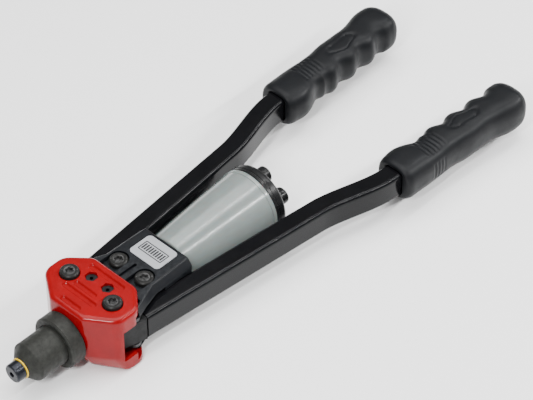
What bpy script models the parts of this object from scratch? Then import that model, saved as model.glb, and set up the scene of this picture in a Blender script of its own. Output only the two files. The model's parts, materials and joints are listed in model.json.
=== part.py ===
"""Hand riveter with two long arms: pull head, sliding jaw carriage, collection bottle and grips.

Sizes are in millimetres in the tool frame: X runs from the nose to the grips, Y to the left arm,
Z up, with zero where the nose axis crosses the line of the two fulcrum bolts. MM turns them into
Blender's metres, and the riveter_frame empty sets the tool on the bench around the world's origin.
The arms are closed, at the end of a pull.
"""
import math

import bmesh
import bpy
from mathutils import Matrix, Vector

MM = 0.001
GAP = 0.3
ROUND_STEPS = 24
OVERCUT = 5.0
SIDES = (("left", 1), ("right", -1))
LAYERS = (("upper", 1), ("lower", -1))

# Overall reach from the fulcrum line.
NOSE_REACH = 70.6
GRIP_REACH = 353.4

# Head housing: one casting with an upper and a lower plate.
UPPER_PLATE = 6.6
LOWER_PLATE = 5.8
HOUSING_FRONT = -23.0
HOUSING_REAR = 21.6
HOUSING_FRONT_HALF = 14.5
HOUSING_HALF_WIDTH = 35.2
HOUSING_REAR_HALF = 20.0
HOUSING_SHOULDER_FRONT = -8.5
HOUSING_SHOULDER_REAR = 7.8
HOUSING_FRONT_CORNER = 4.0
HOUSING_SHOULDER_CORNERS = (7.0, 8.0)
HOUSING_REAR_CORNER = 6.0
CORNER_GROWTH = 0.5
HOUSING_EDGE = 2.5
HOUSING_EDGE_STEPS = 3
EASE_TOP = -8.0
FRONT_EASE = 9.0
SHOULDER_EASE = 0.8
EASE_POWER = 1.3
REAR_SWELL = 2.4
SKIRT_WALL = 2.7
MOUTH_FRONT = -4.6
SKIRT_REAR = 6.0
CAVITY_FRONT = -10.5
CAVITY_HALF = 22.0
ARM_CAVITY_HALF = 23.0
MOUTH_STEP = 0.8
MOUTH_CORNER_Y = 31.5
GAUGE_GROOVE_WIDTH = 3.2
GAUGE_GROOVE_DEPTH = 0.7
GAUGE_GROOVES = ((14.0, -16.0, 16.0), (-3.0, -8.0, 12.5), (-9.0, -14.0, 16.5), (-18.0, -9.0, 9.0))

# Fulcrum bolts, which carry the arms.
FULCRUM_Y = 20.0
BOLT_RADIUS = 4.0
BOLT_HOLE_GAP = 0.2
BOLT_HEAD_RADIUS = 6.5
BOLT_HEAD_RISE = 2.8
HEAD_POCKET_DEPTH = 2.9
HEAD_POCKET_GAP = 0.5
NUT_FLATS = 13.0
NUT_HEIGHT = 3.8
SOCKET_FLATS = 6.0
SOCKET_DEPTH = 2.6
BOSS_WALL = 1.2
BOSS_ROOT = 2.0
NUT_RECESS_GAP = 0.6
BOLT_CHAMFER = 0.8
BOLT_TIP_CHAMFER = 0.6

# Arms: steel tubes with a forged eye in the front end.
ARM_WIDTH = 15.0
ARM_HEIGHT = 20.0
ARM_WALL = 2.0
ARM_CORNER = 3.0
ARM_OPEN_DEGREES = 50.0
ARM_START = (18.3, 26.2)
ARM_SLOPE = 0.103
BEND_LENGTH = 58.0
BEND_RISE = 13.3
BEND_LEAD = 4.4
BEND_HANDLE = 18.0
END_HANDLE = 10.0
GRIP_SLOPE = 0.043
EYE_RADIUS = 9.0
SHANK_LENGTH = 20.0
SHANK_ROOT = 4.0
EYE_CHAMFER = 0.8
SHANK_CHAMFER = 1.6
PIN_FIT = 0.1
BUSH_WALL = 1.8

# Links between the arms and the carriage.
PIN_ARM = 12.0
PIN_ANGLE_DEGREES = 30.0
PIN_RADIUS = 3.0
PIN_SLOT_EXTRA = 1.0
PIN_SLOT_PLAY = 0.5
LINK_PIN_END_RADIUS = 5.8
LINK_BOLT_END_RADIUS = 6.2
LINK_WAIST = 8.2
LINK_END_STEPS = 14
LINK_THICKNESS = 2.5

# Carriage: two castings clamped on the pull tube.
CARRIAGE_BOLT_X = 35.5
CARRIAGE_BOLT_Y = 12.0
CARRIAGE_PLATE = 5.7
CARRIAGE_CREASE = 0.8
CARRIAGE_REAR = 68.0
CARRIAGE_NOSE = 5.0
CARRIAGE_TOP_HALF = 19.6
CARRIAGE_WING = ((CARRIAGE_NOSE, 14.2), (18.6, 14.2), (18.6, 25.6), (12.0, 25.6))
CARRIAGE_LOW_EDGE = ((12.0, 32.0), (21.0, 28.6), (34.0, 24.8), (66.0, 24.2), (CARRIAGE_REAR, 23.6))
CARRIAGE_TOP_EDGE = ((12.0, 29.6), (21.0, 25.9), (34.0, 20.6), (66.0, CARRIAGE_TOP_HALF),
                     (CARRIAGE_REAR, CARRIAGE_TOP_HALF))
ARM_CLEARANCE_HALVES = (20.0, 22.9)
CENTRE_SLOT = ((26.0, 0.0), (39.0, 0.0))
CENTRE_SLOT_RADIUS = 1.2
CENTRE_SLOT_DEPTH = 2.2
POCKET_WEB = 2.2
POCKET_RADIUS = 7.0
SPACER_WALL = 1.3
LABEL_FRONT = 45.6
LABEL_REAR = 65.8
LABEL_HALF = 13.5
LABEL_CORNER = 3.0
LABEL_THICKNESS = 0.8
LABEL_DEPTH = 0.9

# Pull tube and jaws, on the nose axis.
TUBE_BORE = 3.4
TUBE_SETBACK = 4.0
TUBE_SHOULDER = 28.0
TUBE_REAR = 56.0
TUBE_FRONT_RADIUS = 7.0
TUBE_REAR_RADIUS = 5.5
TUBE_THREAD_RADIUS = 7.6
FLANGE_RADIUS = 8.5
FLANGE_X = 50.0
FLANGE_THICKNESS = 2.4
CASE_SETBACK = 27.1
CASE_LENGTH = 21.5
CASE_RADIUS = 10.0
CASE_MOUTH = 4.6
CASE_CONE_LENGTH = 8.5
JAW_BORE = 1.4
JAW_SPAN_DEGREES = 112.0
PUSHER_LENGTH = 3.2
LOCK_NUT_FLATS = 16.8
LOCK_NUT_LENGTH = 5.0
SPRING_WIRE = 1.1
SPRING_RADIUS = 5.4
SPRING_TURNS = 3.5

# Nose: barrel, lock collar and nosepiece.
BARREL_RADIUS = 13.9
BARREL_BORE = 10.4
NOSE_HEAD_LENGTH = 8.3
BARREL_CONE_LENGTH = 6.3
BARREL_REAR = -12.0
BARREL_TIP_RADIUS = 7.4
SPIGOT_STEP = 1.1
COLLAR_RADIUS = 18.7
COLLAR_FRONT = -34.4
COLLAR_CHAMFER = 1.0
NOSEPIECE_RADIUS = 6.7
NOSEPIECE_SHANK = 4.6
NOSEPIECE_BORE = 1.9
NOSEPIECE_ROUNDING = 1.2
NOSE_PLAY = 0.2
CASE_PLAY = 0.7
SIZE_RING_THICKNESS = 0.9
SPARE_X = 7.5
SPARE_Y = 7.5
SPARE_FLATS = 7.4
SPARE_LENGTH = 4.6
SPARE_BORE = 1.4

# Collection bottle and its cap.
BOTTLE_WALL = 1.3
BOTTLE_FRONT_RADIUS = 19.0
BOTTLE_REAR_RADIUS = 25.8
BOTTLE_REAR = 147.0
NECK_RADIUS = 11.9
NECK_FRONT = 57.3
CAP_DEPTH = 9.5
CAP_RIM = 5.6
CAP_PLUG = 6.0
CAP_WALL = 2.0
CAP_FACE_INSET = 4.3
CAP_FACE_THICKNESS = 2.5
LUG_COUNT = 4
LUG_RADIUS = 5.0
LUG_INSET = 3.5
LUG_LENGTH = 9.2
LUG_TURN_DEGREES = 15.0

# Grips.
GRIP_LENGTH = 123.0
GRIP_END_WALL = 17.4
GRIP_OFFSET = 0.3
GRIP_HALF_WIDTH = 15.4
GRIP_HALF_HEIGHT = 14.6
FINGER_PITCH = 20.8
FINGER_DEPTH = 1.8
FINGER_FIRST_CREST = 48.0
FINGER_FADE = 6.0
FINGER_REAR = 12.0
GRIP_INNER_SWELLS = ((3.2, 32.0, 7.0), (-2.2, 14.0, 9.0))
GRIP_OUTER_SWELLS = ((-1.6, 46.0, 15.0), (-1.2, 82.0, 12.0), (2.4, 107.0, 12.0))
GRIP_HEIGHT_SWELLS = ((-1.2, 34.0, 12.0), (0.8, 108.0, 13.0))
GRIP_FRONT_ROUNDING = 5.0
GRIP_REAR_ROUNDING = 10.0
GRIP_FRONT_FACE = 0.82
GRIP_REAR_FACE = 0.42
GRIP_SQUARENESS = 0.75
GRIP_SECTIONS = 28
GRIP_POINTS = 16
GRIP_END_CROWDING = 0.04

# Layers across the thickness, from the arm outwards.
LINK_INNER = ARM_HEIGHT / 2 + GAP
LINK_OUTER = LINK_INNER + LINK_THICKNESS
CARRIAGE_INNER = LINK_OUTER + GAP
CARRIAGE_TOP = CARRIAGE_INNER + CARRIAGE_PLATE
POCKET_FLOOR = CARRIAGE_INNER + POCKET_WEB
PLATE_INNER = CARRIAGE_TOP + 2 * GAP
HOUSING_TOP = PLATE_INNER + UPPER_PLATE
HOUSING_BOTTOM = -PLATE_INNER - LOWER_PLATE
FULCRUM_SEAT = HOUSING_TOP - HEAD_POCKET_DEPTH

PIN_X = PIN_ARM * math.cos(math.radians(PIN_ANGLE_DEGREES))
PIN_Y = FULCRUM_Y + PIN_ARM * math.sin(math.radians(PIN_ANGLE_DEGREES))
BOLT_HOLE = BOLT_RADIUS + BOLT_HOLE_GAP
BOSS_RADIUS = BOLT_HOLE + BOSS_WALL
SPINE_FRONT = CARRIAGE_BOLT_X + LINK_BOLT_END_RADIUS + 2 * GAP

# Places along the nose, from its tip.
BARREL_CONE_FRONT = NOSE_HEAD_LENGTH - NOSE_REACH
BARREL_CONE_REAR = BARREL_CONE_FRONT + BARREL_CONE_LENGTH
SPIGOT_RADIUS = BARREL_RADIUS - SPIGOT_STEP
CASE_FRONT = CASE_SETBACK - NOSE_REACH
CASE_REAR = CASE_FRONT + CASE_LENGTH
CASE_CONE_END = CASE_FRONT + CASE_CONE_LENGTH
TUBE_FRONT = CASE_REAR - TUBE_SETBACK

# Places along the arms, from the ends of their grips.
GRIP_START = GRIP_REACH - GRIP_LENGTH
BEND_END_X = GRIP_START - BEND_LEAD
BEND_START_X = BEND_END_X - BEND_LENGTH
BEND_START = (BEND_START_X, ARM_START[1] + ARM_SLOPE * (BEND_START_X - ARM_START[0]))
BEND_END = (BEND_END_X, BEND_START[1] + BEND_RISE)
ARM_END_X = GRIP_REACH - GRIP_END_WALL
ARM_END = (ARM_END_X, BEND_END[1] + GRIP_SLOPE * (ARM_END_X - BEND_END_X))

CAP_FACE_RADIUS = BOTTLE_REAR_RADIUS - CAP_FACE_INSET
LUG_CIRCLE = CAP_FACE_RADIUS - LUG_RADIUS - LUG_INSET

FINISHES = {
    "red_paint": ((0.62, 0.02, 0.025), 0.3, 0.0),
    "black_paint": ((0.012, 0.012, 0.014), 0.25, 0.0),
    "black_casting": ((0.022, 0.024, 0.027), 0.5, 0.2),
    "black_oxide": ((0.045, 0.046, 0.043), 0.55, 0.6),
    "steel": ((0.45, 0.45, 0.46), 0.35, 1.0),
    "yellow_paint": ((0.80, 0.62, 0.01), 0.4, 0.0),
    "label_alloy": ((0.62, 0.63, 0.64), 0.35, 0.9),
    "bottle_plastic": ((0.62, 0.66, 0.66), 0.35, 0.0),
    "cap_plastic": ((0.018, 0.019, 0.02), 0.35, 0.0),
    "grip_rubber": ((0.02, 0.021, 0.023), 0.6, 0.0),
}

BODY_PIVOTS = {
    "head": (0.0, 0.0, 0.0),
    "carriage": (CARRIAGE_BOLT_X, 0.0, 0.0),
    "jaws": (CASE_CONE_END, 0.0, 0.0),
    "cap": (BOTTLE_REAR, 0.0, 0.0),
    "arm_left": (0.0, FULCRUM_Y, 0.0),
    "arm_right": (0.0, -FULCRUM_Y, 0.0),
    "link_left": (CARRIAGE_BOLT_X, CARRIAGE_BOLT_Y, 0.0),
    "link_right": (CARRIAGE_BOLT_X, -CARRIAGE_BOLT_Y, 0.0),
}


# ---------------------------------------------------------------- scene

def clear_scene():
    for obj in list(bpy.data.objects):
        bpy.data.objects.remove(obj, do_unlink=True)


def add_collections():
    for name in ("hand_riveter", "cutters"):
        bpy.context.scene.collection.children.link(bpy.data.collections.new(name))


def add_frames():
    """One empty for the tool and one on each body's joint axis."""
    home = bpy.data.collections["hand_riveter"]
    tool = bpy.data.objects.new("riveter_frame", None)
    tool.location = Vector(((NOSE_REACH - GRIP_REACH) / 2, 0, -HOUSING_BOTTOM)) * MM
    home.objects.link(tool)
    for body, pivot in BODY_PIVOTS.items():
        frame = bpy.data.objects.new(body + "_frame", None)
        frame.parent = tool
        frame.location = Vector(pivot) * MM
        home.objects.link(frame)


def material(name, finish):
    color, roughness, metallic = FINISHES[finish]
    made = bpy.data.materials.new(name + "_" + finish)
    made.use_nodes = True
    shader = made.node_tree.nodes["Principled BSDF"]
    shader.inputs["Base Color"].default_value = (*color, 1.0)
    shader.inputs["Roughness"].default_value = roughness
    shader.inputs["Metallic"].default_value = metallic
    return made


def place(name, mesh, body, finish=None, at=(0, 0, 0)):
    """Hang a mesh on its body's frame: a piece with a finish, or a cutter without one."""
    obj = bpy.data.objects.new(name, mesh)
    frame = bpy.data.objects[body + "_frame"]
    obj.parent = frame
    obj.matrix_parent_inverse = Matrix.Translation(-frame.location)
    obj.location = Vector(at) * MM
    if finish is None:
        obj.hide_render = True
        obj.display_type = "WIRE"
        bpy.data.collections["cutters"].objects.link(obj)
    else:
        mesh.materials.append(material(name, finish))
        mesh.shade_smooth()
        mesh.set_sharp_from_angle(angle=math.radians(30))
        bpy.data.collections["hand_riveter"].objects.link(obj)
    return obj


# ---------------------------------------------------------------- outlines

def rounded(corners, arc_points=3):
    """Outline through (x, y, radius) corners, with an arc at each."""
    outline = []
    for index, (x, y, radius) in enumerate(corners):
        corner = Vector((x, y))
        before = (Vector(corners[index - 1][:2]) - corner).normalized()
        after = (Vector(corners[(index + 1) % len(corners)][:2]) - corner).normalized()
        if radius == 0:
            outline.append(tuple(corner))
            continue
        half_angle = before.angle(after) / 2
        centre = corner + (before + after).normalized() * radius / math.sin(half_angle)
        start = (corner + before * radius / math.tan(half_angle) - centre).normalized()
        end = (corner + after * radius / math.tan(half_angle) - centre).normalized()
        for step in range(arc_points + 1):
            outline.append(tuple(centre + start.slerp(end, step / arc_points) * radius))
    return outline


def mirrored(half):
    """Close a half outline at y >= 0 with its mirror image."""
    other = [(corner[0], -corner[1], *corner[2:]) for corner in reversed(half) if corner[1] > 0]
    return list(half) + other


def circle(centre, radius, points=16):
    turns = [2 * math.pi * step / points for step in range(points)]
    return [(centre[0] + radius * math.cos(turn), centre[1] + radius * math.sin(turn)) for turn in turns]


def hull(points):
    """Convex outline around points, counter-clockwise."""
    ordered = sorted(set(points))
    chains = []
    for run in (ordered, ordered[::-1]):
        chain = []
        for point in run:
            while len(chain) > 1 and turn_of(chain[-2], chain[-1], point) <= 0:
                chain.pop()
            chain.append(point)
        chains.append(chain[:-1])
    return chains[0] + chains[1]


def turn_of(first, second, third):
    ahead = (second[0] - first[0], second[1] - first[1])
    across = (third[0] - first[0], third[1] - first[1])
    return ahead[0] * across[1] - ahead[1] * across[0]


def slot_outline(start, end, radius):
    return hull(circle(start, radius) + circle(end, radius))


def flip(outline, side):
    return [(x, side * y) for x, y in outline]


# ---------------------------------------------------------------- solids

def mesh_of(name, bm):
    mesh = bpy.data.meshes.new(name)
    bm.to_mesh(mesh)
    bm.free()
    return mesh


def shoelace(profile):
    pairs = zip(profile, profile[1:] + profile[:1])
    return sum(a[0] * b[1] - b[0] * a[1] for a, b in pairs)


def turned(name, body, profile, finish=None, axis="X", at=(0, 0, 0), ring=False, steps=ROUND_STEPS):
    """Spin (along, radius) points around an axis; a ring's profile is a closed loop."""
    ordered = list(profile) if shoelace(list(profile)) > 0 else list(profile)[::-1]
    bm = bmesh.new()
    for along, radius in ordered:
        spot = (along, radius, 0) if axis == "X" else (radius, 0, along)
        bm.verts.new(Vector(spot) * MM)
    bm.verts.ensure_lookup_table()
    count = len(ordered)
    for index in range(count if ring else count - 1):
        bm.edges.new((bm.verts[index], bm.verts[(index + 1) % count]))
    obj = place(name, mesh_of(name, bm), body, finish, at)
    screw = obj.modifiers.new("turn", "SCREW")
    screw.axis = axis
    screw.steps = steps
    screw.render_steps = steps
    screw.use_merge_vertices = True
    screw.merge_threshold = 0.000001
    screw.use_smooth_shade = False
    return obj


def prism(name, body, radius, low, high, finish=None, at=(0, 0), sides=16):
    """Upright cylinder, or a hexagon with six sides, from low to high."""
    bm = bmesh.new()
    lift = Matrix.Translation(Vector((at[0], at[1], (low + high) / 2)) * MM)
    bmesh.ops.create_cone(bm, cap_ends=True, segments=sides, radius1=radius * MM, radius2=radius * MM,
                          depth=(high - low) * MM, matrix=lift)
    return place(name, mesh_of(name, bm), body, finish)


def block(name, body, low, high, finish=None):
    bm = bmesh.new()
    bmesh.ops.create_cube(bm, size=1.0)
    size = (Vector(high) - Vector(low)) * MM
    bmesh.ops.scale(bm, vec=size, verts=bm.verts)
    bmesh.ops.translate(bm, vec=(Vector(high) + Vector(low)) / 2 * MM, verts=bm.verts)
    return place(name, mesh_of(name, bm), body, finish)


def mesh_from_curve(name, curve, merge_flats=False):
    """Evaluated mesh of a curve with its caps welded on; flat areas can be merged into single faces."""
    holder = bpy.data.objects.new(name + "_curve", curve)
    bpy.context.scene.collection.objects.link(holder)
    ready = holder.evaluated_get(bpy.context.evaluated_depsgraph_get())
    mesh = bpy.data.meshes.new_from_object(ready)
    bpy.data.objects.remove(holder, do_unlink=True)
    bm = bmesh.new()
    bm.from_mesh(mesh)
    bmesh.ops.remove_doubles(bm, verts=bm.verts, dist=0.000002)
    if merge_flats:
        bmesh.ops.dissolve_limit(bm, angle_limit=0.001, verts=bm.verts, edges=bm.edges)
    bmesh.ops.recalc_face_normals(bm, faces=bm.faces)
    bm.to_mesh(mesh)
    bm.free()
    mesh.materials.clear()
    return mesh


def outline_curve(name, outline):
    curve = bpy.data.curves.new(name, "CURVE")
    curve.dimensions = "2D"
    spline = curve.splines.new("POLY")
    spline.points.add(len(outline) - 1)
    for point, (x, y) in zip(spline.points, outline):
        point.co = (x * MM, y * MM, 0, 1)
    spline.use_cyclic_u = True
    return curve


def flat(name, body, outline, low, high, finish=None):
    """Flat outline in the XY plane, extruded from low to high."""
    curve = outline_curve(name, outline)
    curve.fill_mode = "BOTH"
    curve.extrude = (high - low) / 2 * MM
    mesh = mesh_from_curve(name, curve, merge_flats=True)
    mesh.transform(Matrix.Translation((0, 0, (low + high) / 2 * MM)))
    return place(name, mesh, body, finish)


def loft(name, body, sections, finish=None):
    """Skin over rings of (x, y, z) points, with a flat cap on each end."""
    bm = bmesh.new()
    rings = [[bm.verts.new(Vector(point) * MM) for point in section] for section in sections]
    for ring, following in zip(rings, rings[1:]):
        for index, vert in enumerate(ring):
            ahead = (index + 1) % len(ring)
            bm.faces.new((vert, ring[ahead], following[ahead], following[index]))
    bm.faces.new(rings[0][::-1])
    bm.faces.new(rings[-1])
    bmesh.ops.recalc_face_normals(bm, faces=bm.faces)
    return place(name, mesh_of(name, bm), body, finish)


def bevel(obj, width, segments=2, angle_degrees=40):
    made = obj.modifiers.new("edge", "BEVEL")
    made.width = width * MM
    made.segments = segments
    made.limit_method = "ANGLE"
    made.angle_limit = math.radians(angle_degrees)
    return obj


def combine(obj, other, operation):
    made = obj.modifiers.new(other.name, "BOOLEAN")
    made.operation = operation
    made.solver = "EXACT"
    made.object = other
    return obj


def cut(obj, *cutters):
    for cutter in cutters:
        combine(obj, cutter, "DIFFERENCE")
    return obj


def join(obj, *others):
    for other in others:
        combine(obj, other, "UNION")
    return obj


def corner_radius(flats):
    return flats / 2 / math.cos(math.radians(30))


# ---------------------------------------------------------------- head

def housing_outline(height, inset):
    """Plan of the casting at a height: towards the bottom its front eases back and its rear corners swell."""
    depth = max(0.0, EASE_TOP - height) / (EASE_TOP - HOUSING_BOTTOM)
    ease = FRONT_EASE * depth ** EASE_POWER
    swell = REAR_SWELL * depth
    side = HOUSING_HALF_WIDTH - inset
    front_corner, rear_corner = [corner + CORNER_GROWTH * depth for corner in HOUSING_SHOULDER_CORNERS]
    return rounded(mirrored([
        (HOUSING_FRONT + ease + inset, HOUSING_FRONT_HALF - inset / 2, HOUSING_FRONT_CORNER),
        (HOUSING_SHOULDER_FRONT + SHOULDER_EASE * ease + inset / 2, side, front_corner),
        (HOUSING_SHOULDER_REAR + swell - inset / 2, side, rear_corner),
        (HOUSING_REAR - inset, HOUSING_REAR_HALF + swell - inset / 2, HOUSING_REAR_CORNER),
    ]))


def housing_levels():
    """Heights and insets of the casting's sections, with a rounded edge at the top and the bottom."""
    levels = []
    for end, inward in ((HOUSING_TOP, -1), (HOUSING_BOTTOM, 1)):
        edge = []
        for step in range(HOUSING_EDGE_STEPS + 1):
            turn = math.pi / 2 * step / HOUSING_EDGE_STEPS
            height = end + inward * HOUSING_EDGE * (1 - math.cos(turn))
            edge.append((height, HOUSING_EDGE * (1 - math.sin(turn))))
        levels.append(edge)
    between = [(EASE_TOP + (levels[1][-1][0] - EASE_TOP) * share, 0.0) for share in (0.0, 0.35, 0.7)]
    return levels[0] + between + levels[1][::-1]


def head_housing():
    sections = []
    for height, inset in housing_levels():
        sections.append([(x, y, height) for x, y in housing_outline(height, inset)])
    housing = loft("head_housing", "head", sections, "red_paint")
    cut(housing, arm_space(), carriage_space(), barrel_bore())
    for name, side in SIDES:
        fulcrum_cuts(housing, name, side)
    for index, (x, low, high) in enumerate(GAUGE_GROOVES):
        radius = GAUGE_GROOVE_WIDTH / 2
        groove = slot_outline((x, low + radius), (x, high - radius), radius)
        floor = HOUSING_TOP - GAUGE_GROOVE_DEPTH
        cut(housing, flat(f"gauge_groove_{index}", "head", groove, floor, HOUSING_TOP + OVERCUT))


def arm_space():
    clear = HOUSING_HALF_WIDTH + 2 * OVERCUT
    half = [(CAVITY_FRONT, ARM_CAVITY_HALF), (MOUTH_FRONT - MOUTH_STEP, MOUTH_CORNER_Y), (MOUTH_FRONT, clear),
            (clear, clear)]
    return flat("arm_space", "head", mirrored(half), -CARRIAGE_INNER - 0.1, CARRIAGE_INNER + 0.1)


def carriage_space():
    skirt = HOUSING_HALF_WIDTH - SKIRT_WALL
    clear = HOUSING_HALF_WIDTH + 2 * OVERCUT + 1
    half = [(CAVITY_FRONT, CAVITY_HALF), (MOUTH_FRONT, skirt), (SKIRT_REAR, skirt), (SKIRT_REAR, clear),
            (clear, clear)]
    return flat("carriage_space", "head", mirrored(half), -PLATE_INNER, PLATE_INNER)


def barrel_bore():
    radius = SPIGOT_RADIUS + GAP
    front = HOUSING_FRONT - OVERCUT
    rear = CAVITY_FRONT + 3
    profile = [(rear, 0), (rear, radius), (front, radius), (front, 0)]
    return turned("barrel_bore", "head", profile)


def fulcrum_cuts(housing, name, side):
    """Bosses beside the arm eye, the bolt's hole and counterbore, the nut's recess and a spare's hole."""
    at = (0, side * FULCRUM_Y)
    for layer, up in LAYERS:
        low, high = sorted((up * LINK_INNER, up * (PLATE_INNER + BOSS_ROOT)))
        join(housing, prism(f"boss_{layer}_{name}", "head", BOSS_RADIUS, low, high, at=at))
    head_hole = BOLT_HEAD_RADIUS + HEAD_POCKET_GAP
    nut_hole = corner_radius(NUT_FLATS) + NUT_RECESS_GAP
    nut_floor = HOUSING_BOTTOM + NUT_HEIGHT + 2 * GAP
    spare_at = (SPARE_X, side * SPARE_Y)
    spare_hole = corner_radius(SPARE_FLATS) + GAP
    cut(housing,
        prism(f"fulcrum_hole_{name}", "head", BOLT_HOLE, HOUSING_BOTTOM - OVERCUT, HOUSING_TOP + OVERCUT, at=at),
        prism(f"head_hole_{name}", "head", head_hole, FULCRUM_SEAT, HOUSING_TOP + OVERCUT, at=at, sides=24),
        prism(f"nut_hole_{name}", "head", nut_hole, HOUSING_BOTTOM - OVERCUT, nut_floor, at=at),
        prism(f"spare_hole_{name}", "head", spare_hole, PLATE_INNER - OVERCUT, HOUSING_TOP + OVERCUT, at=spare_at,
              sides=6))


def bolt(name, body, at, seat, head_height, tip, finish="black_oxide"):
    """Socket-head bolt along Z, with its head above the seat and its tip below."""
    top = seat + head_height
    profile = [(top, 0), (top, BOLT_HEAD_RADIUS - BOLT_CHAMFER), (top - BOLT_CHAMFER, BOLT_HEAD_RADIUS),
               (seat, BOLT_HEAD_RADIUS), (seat, BOLT_RADIUS), (tip + BOLT_TIP_CHAMFER, BOLT_RADIUS),
               (tip, BOLT_RADIUS - BOLT_TIP_CHAMFER), (tip, 0)]
    obj = turned(name, body, profile, finish, axis="Z", at=(*at, 0), steps=16)
    socket = prism(name + "_socket", body, corner_radius(SOCKET_FLATS), top - SOCKET_DEPTH, top + OVERCUT,
                   at=at, sides=6)
    return cut(obj, socket)


def nut(name, body, at, low, high, flats, bore, axis="Z"):
    """Hexagon nut, chamfered at both ends, with its bore along the axis."""
    obj = prism(name, body, corner_radius(flats), low, high, "black_oxide", at=at, sides=6)
    if axis == "X":
        obj.rotation_euler = (0, math.radians(90), 0)
    hole = prism(name + "_hole", body, bore, low - OVERCUT, high + OVERCUT, at=at)
    hole.rotation_euler = obj.rotation_euler
    return cut(obj, hole)


def fulcrum_hardware():
    for name, side in SIDES:
        at = (0, side * FULCRUM_Y)
        seat = FULCRUM_SEAT + GAP
        bolt(f"fulcrum_bolt_{name}", "head", at, seat, HOUSING_TOP + BOLT_HEAD_RISE - seat, HOUSING_BOTTOM + 0.6)
        low = HOUSING_BOTTOM + GAP
        nut(f"fulcrum_nut_{name}", "head", at, low, low + NUT_HEIGHT, NUT_FLATS, BOLT_HOLE)


def spare_nosepieces():
    for name, side in SIDES:
        at = (SPARE_X, side * SPARE_Y)
        low = PLATE_INNER + GAP
        spare = prism(f"spare_nosepiece_{name}", "head", corner_radius(SPARE_FLATS), low, low + SPARE_LENGTH,
                      "black_oxide", at=at, sides=6)
        top = low + SPARE_LENGTH + OVERCUT
        cut(spare, prism(f"spare_bore_{name}", "head", SPARE_BORE, low - OVERCUT, top, at=at, sides=8))


def nose():
    """Barrel screwed into the head, its lock collar, the nosepiece and the nosepiece's size ring."""
    spigot_start = HOUSING_FRONT - GAP
    bore_front = CASE_FRONT - carriage_travel() - CASE_PLAY
    nose_hole = NOSEPIECE_SHANK + GAP
    turned("nose_barrel", "head", [
        (BARREL_CONE_FRONT, BARREL_TIP_RADIUS), (BARREL_CONE_REAR, BARREL_RADIUS),
        (spigot_start, BARREL_RADIUS), (spigot_start, SPIGOT_RADIUS), (BARREL_REAR, SPIGOT_RADIUS),
        (BARREL_REAR, BARREL_BORE), (bore_front, BARREL_BORE), (bore_front, nose_hole),
        (BARREL_CONE_FRONT, nose_hole)], "black_oxide", ring=True)
    inner = BARREL_RADIUS + GAP
    chamfer = COLLAR_CHAMFER
    turned("barrel_collar", "head", [
        (COLLAR_FRONT, inner), (COLLAR_FRONT, COLLAR_RADIUS - chamfer), (COLLAR_FRONT + chamfer, COLLAR_RADIUS),
        (spigot_start, COLLAR_RADIUS), (spigot_start, inner)], "black_oxide", ring=True, steps=32)
    ring_rear = BARREL_CONE_FRONT - NOSE_PLAY
    ring_front = ring_rear - SIZE_RING_THICKNESS
    turned("nosepiece_size_ring", "head", [
        (ring_front, nose_hole), (ring_front, BARREL_TIP_RADIUS), (ring_rear, BARREL_TIP_RADIUS),
        (ring_rear, nose_hole)], "yellow_paint", ring=True)
    head_rear = ring_front - NOSE_PLAY
    tip = -NOSE_REACH
    rounding = NOSEPIECE_ROUNDING
    middle = 0.3 * rounding
    shank_end = bore_front - 2 * NOSE_PLAY
    turned("nosepiece", "head", [
        (tip, NOSEPIECE_BORE), (tip, NOSEPIECE_RADIUS - rounding), (tip + middle, NOSEPIECE_RADIUS - middle),
        (tip + rounding, NOSEPIECE_RADIUS), (head_rear, NOSEPIECE_RADIUS), (head_rear, NOSEPIECE_SHANK),
        (shank_end, NOSEPIECE_SHANK), (shank_end, NOSEPIECE_BORE)], "black_oxide", ring=True, steps=20)


# ---------------------------------------------------------------- linkage

def pin_at(open_degrees):
    """Centre of the left arm's link pin with the arm opened by an angle."""
    turn = math.radians(PIN_ANGLE_DEGREES + open_degrees)
    return (PIN_ARM * math.cos(turn), FULCRUM_Y + PIN_ARM * math.sin(turn))


def carriage_travel():
    """Forward travel of the carriage as the arms open fully."""
    length = math.dist((PIN_X, PIN_Y), (CARRIAGE_BOLT_X, CARRIAGE_BOLT_Y))
    x, y = pin_at(ARM_OPEN_DEGREES)
    return CARRIAGE_BOLT_X - x - math.sqrt(length ** 2 - (y - CARRIAGE_BOLT_Y) ** 2)


def arm_profile(clearance=0.0):
    half_width = ARM_WIDTH / 2 + clearance
    half_height = ARM_HEIGHT / 2 + clearance
    corner = ARM_CORNER + clearance
    corners = [(half_width, half_height, corner), (-half_width, half_height, corner),
               (-half_width, -half_height, corner), (half_width, -half_height, corner)]
    return rounded(corners, arc_points=2)


def arm_sweep(name, side, clearance=0.0, capped=False, extra=0.0):
    """The arm's outer surface: its profile carried along the arm's line."""
    path = bpy.data.curves.new(name + "_path", "CURVE")
    path.dimensions = "3D"
    path.resolution_u = 6
    spline = path.splines.new("BEZIER")
    end = (ARM_END[0] + extra, ARM_END[1] + GRIP_SLOPE * extra)
    stations = ((ARM_START, ARM_SLOPE, END_HANDLE), (BEND_START, ARM_SLOPE, BEND_HANDLE),
                (BEND_END, GRIP_SLOPE, BEND_HANDLE), (end, GRIP_SLOPE, END_HANDLE))
    spline.bezier_points.add(len(stations) - 1)
    for point, ((x, y), rise, handle) in zip(spline.bezier_points, stations):
        point.co = Vector((x, side * y, 0)) * MM
        reach = Vector((handle, side * rise * handle, 0)) * MM
        point.handle_left = point.co - reach
        point.handle_right = point.co + reach
    profile = outline_curve(name + "_profile", arm_profile(clearance))
    shape = bpy.data.objects.new(name + "_profile", profile)
    bpy.context.scene.collection.objects.link(shape)
    path.bevel_mode = "OBJECT"
    path.bevel_object = shape
    path.use_fill_caps = capped
    mesh = mesh_from_curve(name, path)
    bpy.data.objects.remove(shape, do_unlink=True)
    return mesh


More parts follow.
